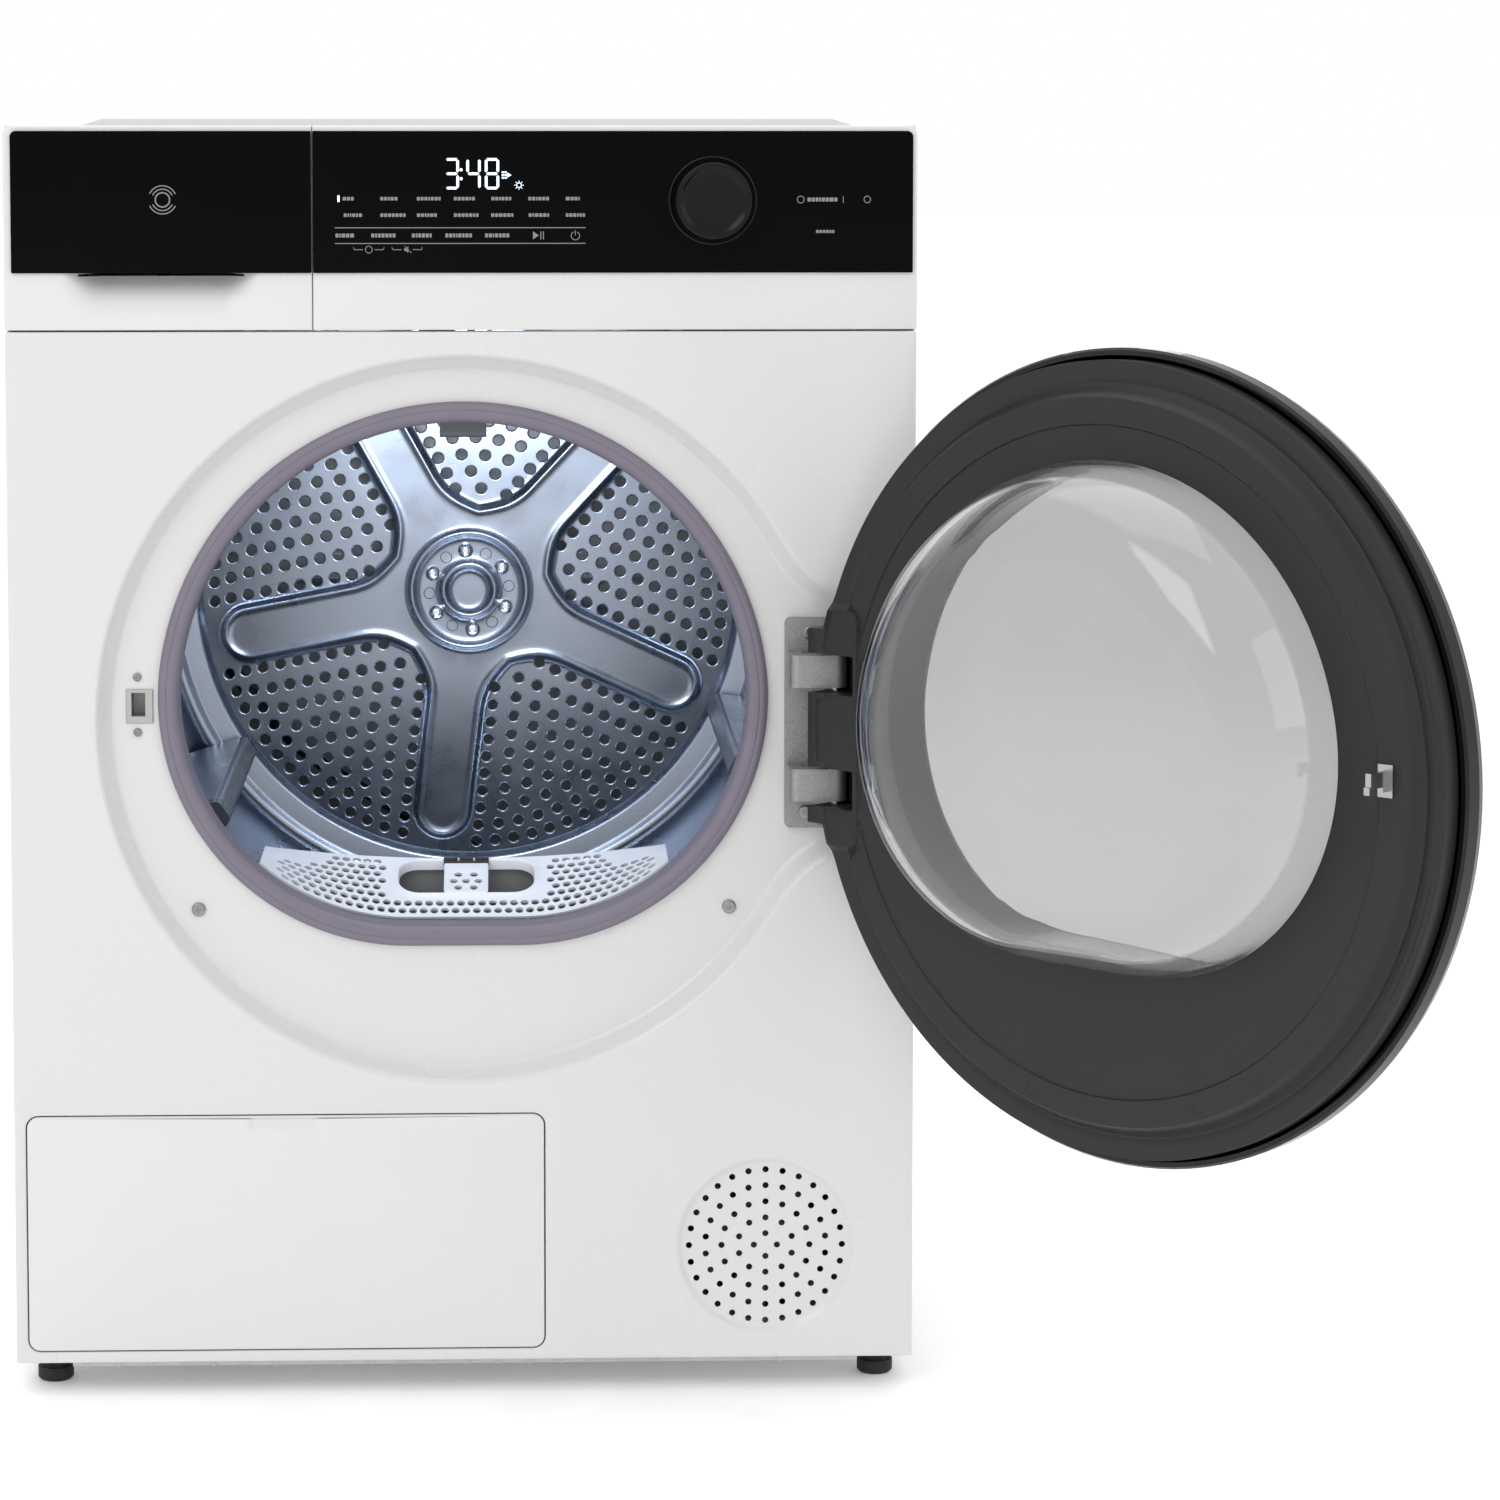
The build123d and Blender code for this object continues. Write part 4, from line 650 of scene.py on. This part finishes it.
def dial():
    b = Build()
    profile = [
        (0, -21.4), (10, -21.3), (17.5, -21.2), (20.2, -21.7), (21.4, -22.7), (22.6, -23.2),
               (23.7, -23.15),
        (24.5, -22.7), (24.9, -21.8), (25.1, -20.4), (25.6, -15.5), (26.1, -10.5), (26.6, -5.5),
               (26.5, -3.4), (24, -3.05),
    ]
    b.turned(profile, KNOB_X, KNOB_Z, 288, lambda row,
             a: -0.32 * (1 + cos(48 * a)) if 9 <= row <= 12 else 0.0)
    b.turned([(3, -3.1), (3, 11.0)], KNOB_X, KNOB_Z, 32)
    piece("dial", b, KNOB_BLACK, body="dial", nodes=("dial_knob",), angle=50, outward=True)
    bezel = Build()
    bezel.turned([(27.7, -2.4), (27.7, -3.3), (27.95, -3.55), (28.35, -3.6), (28.7, -3.4), (28.8, -2.9),
                  (28.8, -2.4)],
                 KNOB_X, KNOB_Z, 144)
    piece("dial_bezel", bezel, KNOB_RIM, angle=50, outward=True)


# ---- loading opening -----------------------------------------------------------------------------
def seal():
    profile = (
        (0.0, 14.0), (0.0, 12.6), (0.35, 10.9), (1.3, 9.5), (2.9, 8.75), (4.6, 8.6), (5.2, 8.75),
               (5.5, 9.1),
        (5.9, 8.9), (6.6, 8.8), (8.8, 9.1), (10.9, 10.1), (12.5, 11.8), (13.4, 14.0), (13.8, 17.5),
               (13.8, 33.9),
        (12.3, 33.9), (11.2, 24.0), (10.5, 14.4), (6, 14.0),
    )
    b = Build()
    b.loft([at(opening_loop(inset), y) for inset, y in profile + profile[:1]])
    piece("opening_seal_lip", b, SEAL, nodes=("opening_seal",), angle=70, outward=True)


def sill_height(x):
    corner = SEAL_CORNER - 13.8
    up = SEAL_CORNER - SEAL_SILL
    side = sqrt((SEAL_R - SEAL_CORNER) ** 2 - up ** 2)
    run = max(0.0, abs(x) - side)
    return OPENING_Z + up - sqrt(corner ** 2 - run ** 2)


def on_grille(x, s, lift=0.0):
    front = sill_height(x) + 1.4
    rear = 343.0 + 10.0 * (x / 143.0) ** 2
    t = s / GRILLE_RUN
    crown = 1.3 * sin(pi * min(1, max(0, t)))
    return (x, 34.6 + 65.4 * t, front + (rear - front) * t + crown + lift)


def grille():
    width = 136.0
    slot = rect_loop(*FILTER_SLOT, FILTER_SLOT_R, 0.0, 8)
    lip = rect_loop(*FILTER_SLOT, FILTER_SLOT_R, -3.0, 8)
    outline = [(-width + 2 * width * k / 40, 0.6) for k in range(41)]
    outline += [(width - 2 * width * k / 40, GRILLE_RUN) for k in range(41)]
    holes = []
    for row in range(8):
        s = 7.2 + 8.1 * row
        for k in range(-19, 20):
            x = 1 + 7.1 * (k + 0.5 * (row % 2))
            thin = abs(x) > 126 - 0.5 * s * (s > 40)
            near = abs(x - 1) < 54.5 and s > 16
            if not thin and not near:
                holes.append((x, s))
    loops = [outline, slot, lip] + [[(cx + 2.75 * cos(2 * pi * k / 12),
                                      cs + 2.95 * sin(2 * pi * k / 12)) for k in range(12)]
                                    for cx, cs in holes]
    points = [(-130 + 5 * i, 3 + 7.1 * j) for i in range(53) for j in range(10)]
    points = [p for p in points if all(hypot(p[0] - cx, p[1] - cs) > 3.6 for cx, cs in holes)]

    def keep(x, s):
        if inside_rect(x, s, *FILTER_SLOT, 15) > 0:
            return False
        return all(hypot((x - cx) / 2.75, (s - cs) / 2.95) > 0.97 for cx, cs in holes) and abs(x) < width

    b = Build()
    b.sheet(loops, points, keep, lambda x, s: on_grille(x, s, 0.9 * smooth(1 + inside_rect(x, s,
                                                                                           *FILTER_SLOT,
                                                                                           15) / 3.0)))
    collar = []
    for inset, drop in ((0.0, -0.9), (0.6, -0.5), (1.0, 0.6), (1.1, 6.0)):
        collar.append([on_grille(x, s, -drop) for x, s in rect_loop(*FILTER_SLOT, FILTER_SLOT_R, inset,
                                                                    8)])
    b.loft([list(reversed(row)) for row in collar])
    piece("grille", b, LILAC, nodes=("outlet_grille",), thick=1.9, angle=45)


def cassette():
    x0, x1, y0, y1, z0, z1 = -41.0, 43.0, 65.5, 90.0, 216.0, 318.0
    b = Build()
    for x in (x0, x1 - 2.4):
        b.box(x, x + 2.4, y0, y1, z0, z1)
    for y in (y0, y1 - 2.4):
        b.box(x0, x1, y, y + 2.4, z0, z0 + 8)
        b.box(x0, x1, y, y + 2.4, z1 - 8, z1)
        for x in (x0 + 26, x0 + 58):
            b.box(x, x + 4, y, y + 2.4, z0, z1)
    b.box(x0, x1, y0, y1, z0, z0 + 2.4)
    b.box(-13, 15, 74, 82, z1 - 6, 330)
    piece("filter_frame", b, CREAM, body="lint_filter", nodes=("filter_cassette",),
          bevel=0.5, angle=40, outward=True)
    tab = Build()
    outline = rect_loop(-14.2, 15.6, 26.8, 64.6, (2.2,) * 4, 0.0, 4)
    spots = [(x, s) for s, xs in ((33, (-4.6, 6.0)), (41, (-7.6, 0.7, 9.0)),
                                  (49, (-4.6, 6.0))) for x in xs]
    loops = [outline] + [circle(cx, cs, 2.7, 14) for cx, cs in spots]
    tab.sheet(loops, [], lambda x, s: inside_rect(x, s, -14.2, 15.6, 26.8, 64.6, 2.2) > -0.1
              and all(hypot(x - cx, s - cs) > 2.6 for cx, cs in spots), lambda x, s: on_grille(x, s, 0.2))
    piece("filter_tab", tab, LILAC, body="lint_filter", thick=2.2, bevel=0.3, angle=40)
    hinge = Build()
    for x in (-14.6, -4.0, 6.6):
        hinge.box(x, x + 9.4, 94.6, 95.8, 342.0, 344.4)
    hinge.box(-14.6, 16.0, 93.2, 94.6, 339.0, 342.2)
    piece("filter_tab_clip", hinge, DARK, body="lint_filter", bevel=0.25, angle=40,
          outward=True)
    weave = Build()
    for k in range(22):
        x = x0 + 3 + k * 3.9
        weave.box(x, x + 1.1, y1 - 1.2, y1 - 0.2, z0 + 8, z1 - 2)
    for k in range(26):
        z = z0 + 8 + k * 3.7
        weave.box(x0 + 2.4, x1 - 2.4, y1 - 1.1, y1 - 0.3, z, z + 1.1)
    piece("filter_weave", weave, MESH_DARK, body="lint_filter", angle=40, outward=True)


# ---- drum ----------------------------------------------------------------------------------------
def spoke_region(x, z):
    """Distance to the raised hub and spokes, positive outside, in one half sector."""
    along = min(max(x, 0.0), 171.0)
    spoke = hypot(x - along, z) - 14.5
    hub = hypot(x, z) - 54.0
    h = max(34.0 - abs(spoke - hub), 0) / 34.0
    return min(spoke, hub) - h * h * 34.0 / 4


def raised(x, z):
    """How far the plate stands towards the front."""
    d = spoke_region(x, z)
    r = hypot(x, z)
    up = 3.6 * (1 - smooth(d / 9)) + 2.7 * hump(d - 4.2, 2.5)
    up += 2.6 * hump(r - 43.8, 2.7) + 2.3 * hump(r - 19.6, 2.4) - 1.6 * (1 - smooth((r - 12) / 6))
    return up - 0.8 * (smooth((r - 22) / 4) - smooth((r - 36) / 5))


def trace(level):
    """Points along one level of spoke_region, from the sector's middle line to the spoke's line."""
    def slope(x, z):
        e = 0.01
        gx = (spoke_region(x + e, z) - spoke_region(x - e, z)) / (2 * e)
        gz = (spoke_region(x, z + e) - spoke_region(x, z - e)) / (2 * e)
        n = hypot(gx, gz)
        return gx / n, gz / n

    start = radians(36)
    low, high = 10.0, 150.0
    for _ in range(40):
        r = (low + high) / 2
        if spoke_region(r * cos(start), r * sin(start)) > level:
            high = r
        else:
            low = r
    x, z = high * cos(start), high * sin(start)
    points = [(x, z)]
    for _ in range(200):
        gx, gz = slope(x, z)
        x, z = x + 2.6 * gz, z - 2.6 * gx
        for _ in range(3):
            gx, gz = slope(x, z)
            miss = spoke_region(x, z) - level
            x, z = x - miss * gx, z - miss * gz
        if z < 0.8 or x < 0:
            break
        points.append((x, z))
    return points


def drum_plate():
    rows = ((78, 3), (90.7, 4), (103.5, 5), (116.6, 6), (129.7, 7), (142.5, 8), (155.7, 9), (169, 10),
            (182.2, 12), (194.6, 14))
    holes = []
    for r, n in rows:
        first = atan2(28.5, sqrt(r * r - 28.5 ** 2))
        for k in range(n):
            a = first + (radians(72) - 2 * first) * (k / (n - 1))
            holes.append((r * cos(a), r * sin(a)))
    edge_radii = [6, 10, 12, 14, 15.5, 17, 18.3, 19.6, 21, 22.5, 24, 26, 30, 34, 37, 39.5, 41, 42.5, 43.8,
                  45, 46.5, 48, 50, 54]
    edge_radii += list(range(62, 168, 8)) + [171, 176, 179, 181, 183, 184.5, 185.5, 186.7, 188, 189.3,
                                             190.5, 192, 193.6, 195, 197.5, 200.5]
    turn = radians(72)
    side = [(r, 0.0) for r in edge_radii]
    arc = [(DRUM_PLATE_R * cos(turn * k / 48), DRUM_PLATE_R * sin(turn * k / 48)) for k in range(49)]
    far = [(r * cos(turn), r * sin(turn)) for r in reversed(edge_radii)]
    outline = [(0.0, 0.0)] + side + arc + far
    points = []
    for r in edge_radii[:23]:
        n = max(4, int(72 / max(3.0, 160 / r)))
        points += [(r * cos(turn * k / n), r * sin(turn * k / n)) for k in range(1, n)]
    for level in (-2.5, -0.8, 0.6, 1.7, 2.6, 3.4, 4.2, 5.0, 5.8, 6.7, 7.8, 9, 10.4):
        half = trace(level)
        points += half + [(hypot(x, z) * cos(turn - atan2(z, x)),
                           hypot(x, z) * sin(turn - atan2(z, x))) for x, z in half]
    points = [p for p in points if hypot(*p) < 202 and all(hypot(p[0] - cx, p[1] - cz) > 5.6 for cx,
                                                           cz in holes)]
    loops = [outline] + [circle(cx, cz, PLATE_HOLE_R, 14) for cx, cz in holes]
    for r in (4.3, 4.8, 5.3):
        for cx, cz in holes:
            points += circle(cx, cz, r, 14)

    def half_up(x, z):
        if atan2(z, x) > turn / 2:
            r, a = hypot(x, z), turn - atan2(z, x)
            x, z = r * cos(a), r * sin(a)
        return raised(x, z)

    def depth(x, z):
        near = min(hypot(x - cx, z - cz) for cx, cz in holes)
        flare = -0.85 * (1 - smooth((near - 3.5) / 1.3))
        return (x, PLATE_Y - half_up(x, z) - flare, z)

    b = Build()
    b.sheet(loops, points, lambda x, z: hypot(x, z) < DRUM_PLATE_R and all(hypot(x - cx,
                                                                                 z - cz) > 3.7 for cx,
                                                                           cz in holes), depth)
    sector = list(b.verts), list(b.faces)
    full = Build()
    for k in range(5):
        a = radians(SPOKE_START + 72 * k)
        full.add([(x * cos(a) - z * sin(a), y, DRUM_Z + x * sin(a) + z * cos(a)) for x, y,
                  z in sector[0]], sector[1])
    piece("drum_back", full, STEEL, body="drum", nodes=("drum_rear_plate",), thick=0.8,
          angle=60, weld=0.05)
    rim = Build()
    profile = [
        (202.8, 509), (204, 508.2), (205.6, 505.8), (207.2, 504), (209, 503.3), (221, 503.3),
               (223, 502.6), (225, 500.9),
        (227.4, 499.8), (230, 499.5), (232.6, 499.8), (235, 501.2), (238, 503.6), (244, 506.6),
               (250.4, 509), (262, 512), (275.8, 514.8),
    ]
    rim.turned(profile, 0, DRUM_Z, 240)
    piece("drum_back_rim", rim, STEEL, body="drum", thick=0.8, angle=60)
    heads = Build()
    spots = Build()
    for k in range(6):
        a = radians(95 + 60 * k)
        x, z = 30.4 * cos(a), DRUM_Z + 30.4 * sin(a)
        heads.turned([(0.4, 503.6), (1.9, 503.6), (2.1, 502.3), (2.9, 501.9), (4.3, 502.5), (5.3, 503.6),
                      (5.8, 505.1), (5.8, 507.4)], x, z, 36)
        heads.turned([(0.2, 503.7), (1.95, 503.7)], x, z, 6)
        a += radians(30)
        spots.turned([(3.9, 506.1), (4.2, 505.75), (4.5, 506.1)], 30.4 * cos(a), DRUM_Z + 30.4 * sin(a),
                     28)
    piece("hub_screws", heads, CHROME, body="drum", nodes=("drum_hub_screws",), angle=40,
          outward=True)
    piece("hub_rings", spots, STEEL, body="drum", angle=60, outward=True)


# ---- door ----------------------------------------------------------------------------------------
POCKETS = [(z0 - 2.3, z1 + 2.3) for z0, z1 in ARM_SPANS]


def door_face(x, z):
    """Depth of the closed door's inner face, in millimetres behind the front sheet."""
    r = hypot(x, z - DOOR_Z)
    y = 6.8 + 1.2 * smooth((r - 207.6) / 1.0) - 11.0 * smooth((r - 224.6) / 8.2)
    y -= 1.2 * smooth((r - 232.0) / 1.4) - 0.5 * smooth((r - 234.2) / 1.2)
    zone = inside_rect(x, z, 204, 270, 370, 529.6, 8)
    flat_y = 1.9 if r < 243.5 else 1.9 - 1.6 * smooth((r - 243.5) / 3)
    y += (flat_y - y) * smooth(0.5 + zone / 7.0)
    for a in RIM_SCREW_ANGLES:
        spot = hypot(x - RIM_SCREW_R * cos(radians(a)), z - DOOR_Z - RIM_SCREW_R * sin(radians(a)))
        y -= 0.35 * (1 - smooth((spot - 4.2) / 0.8)) * (zone < 0)
    return (x, y, z)


def door_frame():
    outline = []
    for k in range(300):
        a = 2 * pi * k / 300
        outline.append((RIM_R * cos(a), DOOR_Z + RIM_R * sin(a)))
    hole = opening_loop(23.2)
    slots = [rect_loop(211.4, 250, z0, z1, (1.2,) * 4, 0.0, 3) for z0, z1 in POCKETS]
    points = []
    for r in (190, 200, 205, 207.4, 207.8, 208.2, 208.7, 212, 216.5, 221, 224, 225.2, 226.6, 228, 229.4,
              230.8, 232.2, 233, 233.8, 234.6, 235.6, 240, 244, 246):
        points += circle(0, DOOR_Z, r, 260, 0.003)
    for x in (203, 204, 205, 206, 207.5, 209, 213, 220, 228, 236):
        points += [(x, z) for z in range(366, 535, 4)]
    for z in (365.5, 366.8, 368, 369.2, 370.4, 371.6, 373, 526.6, 528, 529.2, 530.4, 531.6, 532.8, 534):
        points += [(x, z) for x in range(202, 246, 3)]
    for a in RIM_SCREW_ANGLES:
        cx, cz = RIM_SCREW_R * cos(radians(a)), DOOR_Z + RIM_SCREW_R * sin(radians(a))
        for r in (3.6, 4.2, 4.6, 5.0, 5.6):
            points += circle(cx, cz, r, 24)
    points = [p for p in points if inside_opening(p[0], p[1], 22.4) < 0 and hypot(p[0],
                                                                                  p[1] - DOOR_Z) < RIM_R - 0.6
              and all(inside_rect(p[0], p[1], 211.0, 252, z0 - 0.4, z1 + 0.4, 1.2) < 0 for z0,
                      z1 in POCKETS)]

    def keep(x, z):
        if inside_opening(x, z, 23.2) > 0 or hypot(x, z - DOOR_Z) > RIM_R:
            return False
        return all(not (211.4 < x and z0 < z < z1) for z0, z1 in POCKETS)

    b = Build()
    b.sheet([outline, hole] + slots, points, keep, door_face)
    edge = [[door_face(x, z) for x, z in outline]]
    for drop in (0.5, 1.6, 12.0):
        edge.append([(x * (1 + 0.0006 * min(drop, 1)), min(door_face(x, z)[1], -2.6) - drop, z) for x,
                     z in outline])
    for row in range(3):
        for i in range(300):
            j = (i + 1) % 300
            corners = (edge[row][i], edge[row + 1][i], edge[row + 1][j], edge[row][j])
            if all(p[0] < 200 or not any(z0 - 1 < p[2] < z1 + 1 for z0, z1 in POCKETS) for p in corners):
                b.add(list(corners), [(0, 1, 2, 3)])
    inner = [[(x, door_face(x, z)[1], z) for x, z in hole]]
    for inset, y in ((22.9, 6.2), (22.8, 5.0), (22.8, -31.5)):
        inner.append([(x, min(y, door_face(x, z)[1] - 0.2), z) for x, z in opening_loop(inset)])
    b.loft([list(reversed(row)) for row in inner])
    b.faces = [tuple(reversed(f)) for f in b.faces]
    piece("door_frame", b, FRAME, body="door", nodes=("door_inner_frame",),
          place=swing, angle=38, thick=1.6)
    walls = Build()
    for z0, z1 in POCKETS:
        back, left, right = -28.4, 211.4, 240.4
        walls.box(left - 1.6, left, back, 1.2, z0 - 1.6, z1 + 1.6)
        walls.box(left, right, back, back + 1.6, z0, z1)
        for z in (z0 - 1.6, z1):
            walls.box(left, right, back, 1.2, z, z + 1.6)
    for z0, z1 in ((PIN_CARRIER_Z[0], POCKETS[0][0]), (POCKETS[0][1], POCKETS[1][0]),
                   (POCKETS[1][1], PIN_CARRIER_Z[1])):
        walls.box(*PIN_CARRIER, z0, z1)
    piece("door_hinge_box", walls, FRAME, body="door", place=swing, bevel=0.4,
          angle=40, outward=True)
    ribs = Build()
    for start, stop in ((152, 170), (-168, -150)):
        for r in (238.6, 242.4):
            rows = []
            for off, up in ((-0.7, 0.0), (-0.5, 0.8), (0.0, 1.1), (0.5, 0.8), (0.7, 0.0)):
                rows.append([((r + off) * cos(radians(a)), -4.4 + up,
                              DOOR_Z + (r + off) * sin(radians(a)))
                             for a in [start + (stop - start) * k / 24 for k in range(25)]])
            n = 25
            faces = [(i * n + j, i * n + j + 1, (i + 1) * n + j + 1,
                      (i + 1) * n + j) for i in range(4) for j in range(24)]
            ribs.add([p for row in rows for p in row], faces)
    piece("door_ribs", ribs, FRAME, body="door", place=swing, angle=60, outward=True)


def bowl():
    outer = [
        (23.4, -27.8), (23.4, 5.0), (23.7, 9.5), (24.4, 15), (25.7, 22), (27.6, 30), (30.4, 38.5),
             (34.2, 46.5),
        (39.2, 53.8), (45.4, 60), (52.6, 64.9), (60.6, 68.0), (70, 69.6), (84, 70.3), (104, 70.7),
             (128, 70.9), (150, 71.0), (157, 71.0),
    ]
    inner = [
        (157, 67.0), (150, 67.0), (128, 66.9), (104, 66.7), (84, 66.3), (71, 65.6), (62.8, 64.2),
             (55.6, 61.4), (49.0, 56.8),
        (43.4, 51.2), (38.6, 44.4), (34.8, 36.8), (32.0, 28.6), (30.0, 20.8), (28.7, 14), (28.0, 8),
             (27.6, 2), (27.5, -27.8),
    ]
    b = Build()
    b.loft([at(opening_loop(i), y) for i, y in outer] )
    b.loft([at(opening_loop(i), y) for i, y in inner])
    for i, y in ((157, 71.0), (157, 67.0)):
        loop = opening_loop(i)
        b.add(at(loop, y), [tuple(range(len(loop)))])
    b.loft([at(opening_loop(27.5), -27.8), at(opening_loop(25.4), -28.3), at(opening_loop(23.4), -27.8)])
    piece("door_bowl_glass", b, CLEAR, body="door", nodes=("door_bowl",), place=swing,
          angle=60, outward=True)


# ---- service flap --------------------------------------------------------------------------------
def service_flap():
    x0, x1, z0, z1 = FLAP
    outer = rect_loop(x0, x1, z0, z1, (7.6,) * 4, 1.0, 8)
    points = [(-148 + 1.5 * i, 174 + 1.4 * j) for i in range(38) for j in range(9)]

    def depth(x, z):
        d = inside_rect(x, z, -143.6, -94.9, 177.2, 200.0, 5)
        return (x, 1.5 * smooth(d / 3.2) + 0.5 * smooth(d / 12), z)

    b = Build()
    b.sheet([outer], points, lambda x, z: inside_rect(x, z, x0 + 1, x1 - 1, z0 + 1, z1 - 1, 6.6) > -0.2,
            depth)
    rows = [[depth(x, z) for x, z in outer]]
    for inset, y in ((0.5, 0.15), (0.15, 0.5), (0.0, 1.0), (0.0, 2.6)):
        rows.append([(x, max(y, depth(x, z - inset)[1] + 0.1), z) for x,
                     z in rect_loop(x0, x1, z0, z1, (7.6,) * 4, inset, 8)])
    b.loft(rows)
    piece("flap_skin", b, PLASTIC, body="flap", nodes=("service_flap",), thick=2.0,
          angle=50)
    back = Build()
    for k in range(6):
        back.box(-270 + 62 * k, -268.5 + 62 * k, 2.3, 5.5, 44, 174)
    for z in (44, 108, 172.5):
        back.box(-270, 41.5, 2.3, 5.5, z, z + 1.5)
    for x in (x0 + 6, x1 - 13):
        back.box(x, x + 7, 1.8, 6.4, 36.0, 42.0)
    piece("flap_ribs", back, PLASTIC, body="flap", bevel=0.3, angle=40, outward=True)


# ---- CAD parts kept as they are, with eased edges ------------------------------------------------
def ease(node, width, limit=40, segments=3):
    edge = frame["nodes"][node].modifiers.new("edges", "BEVEL")
    edge.width = width / 1000
    edge.segments = segments
    edge.limit_method = "ANGLE"
    edge.angle_limit = radians(limit)
    edge.harden_normals = True


# ---- making --------------------------------------------------------------------------------------
front_panel()
fascia("control_front", -96.95, 297.5, (0.8, 1.5, 6.0, 0.8), "control_fascia", "cabinet", False)
fascia("tank_drawer_front", -297.5, -97.45, (1.5, 0.8, 0.8, 6.0), "tank_front", "tank_drawer", True)
pane("control_pane", -96.65, 294.5, (0.8, 0.8, 4.0, 0.8), "control_glass", "cabinet")
pane("tank_pane", -292.5, -97.75, (0.8, 0.8, 0.8, 4.0), "tank_glass", "tank_drawer")
display()
dial()
seal()
grille()
cassette()
drum_plate()
door_frame()
bowl()
service_flap()
ease("hinge_bracket", 0.9)
ease("latch_catch", 0.35)
ease("worktop", 1.6, 60)


# ---- floor and light -----------------------------------------------------------------------------
def floor():
    mesh = bpy.data.meshes.new("floor")
    n, rings = 64, (0.0, 1.0, 2.0, 4.0, 8.0, 16.0, 40.0)
    verts = [(r * cos(2 * pi * k / n), r * sin(2 * pi * k / n), 0.0) for r in rings[1:] for k in range(n)]
    faces = [tuple(range(n))]
    for row in range(len(rings) - 2):
        for k in range(n):
            j = (k + 1) % n
            faces.append((row * n + k, (row + 1) * n + k, (row + 1) * n + j, row * n + j))
    mesh.from_pydata(verts, [], faces)
    obj = bpy.data.objects.new("floor", mesh)
    bpy.context.scene.collection.objects.link(obj)
    mesh.materials.append(glow("floor_pale", (1.0, 1.0, 1.0), 0.12))


def area(name, at_mm, look_mm, size, power, colour=(1, 1, 1), size_y=None):
    data = bpy.data.lights.new(name, "AREA")
    data.energy = power
    data.color = colour
    data.shape = "RECTANGLE"
    data.size, data.size_y = size, size_y or size
    obj = bpy.data.objects.new(name, data)
    obj.location = P(*at_mm)
    obj.rotation_euler = (P(*look_mm) - obj.location).to_track_quat("-Z", "Y").to_euler()
    bpy.context.scene.collection.objects.link(obj)


floor()
area("key_softbox", (-1700, -2300, 2600), (0, 0, 500), 1.8, 20)
area("fill_softbox", (2300, -1900, 1700), (0, 0, 450), 1.6, 6)
area("top_softbox", (0, 300, 3200), (0, 200, 0), 2.4, 12)
area("back_softbox", (0, 3200, 2000), (0, 300, 500), 2.2, 10)
area("drum_lamp_light", (0, 100, 645), (0, 505, 330), 0.16, 1.0, (0.80, 0.89, 1.0), 0.06)

world = bpy.data.worlds.new("studio")
bpy.context.scene.world = world
world.use_nodes = True
world.node_tree.nodes["Background"].inputs["Color"].default_value = (1.0, 1.0, 1.0, 1)
world.node_tree.nodes["Background"].inputs["Strength"].default_value = 1.0
bpy.context.scene.view_settings.view_transform = "Standard"
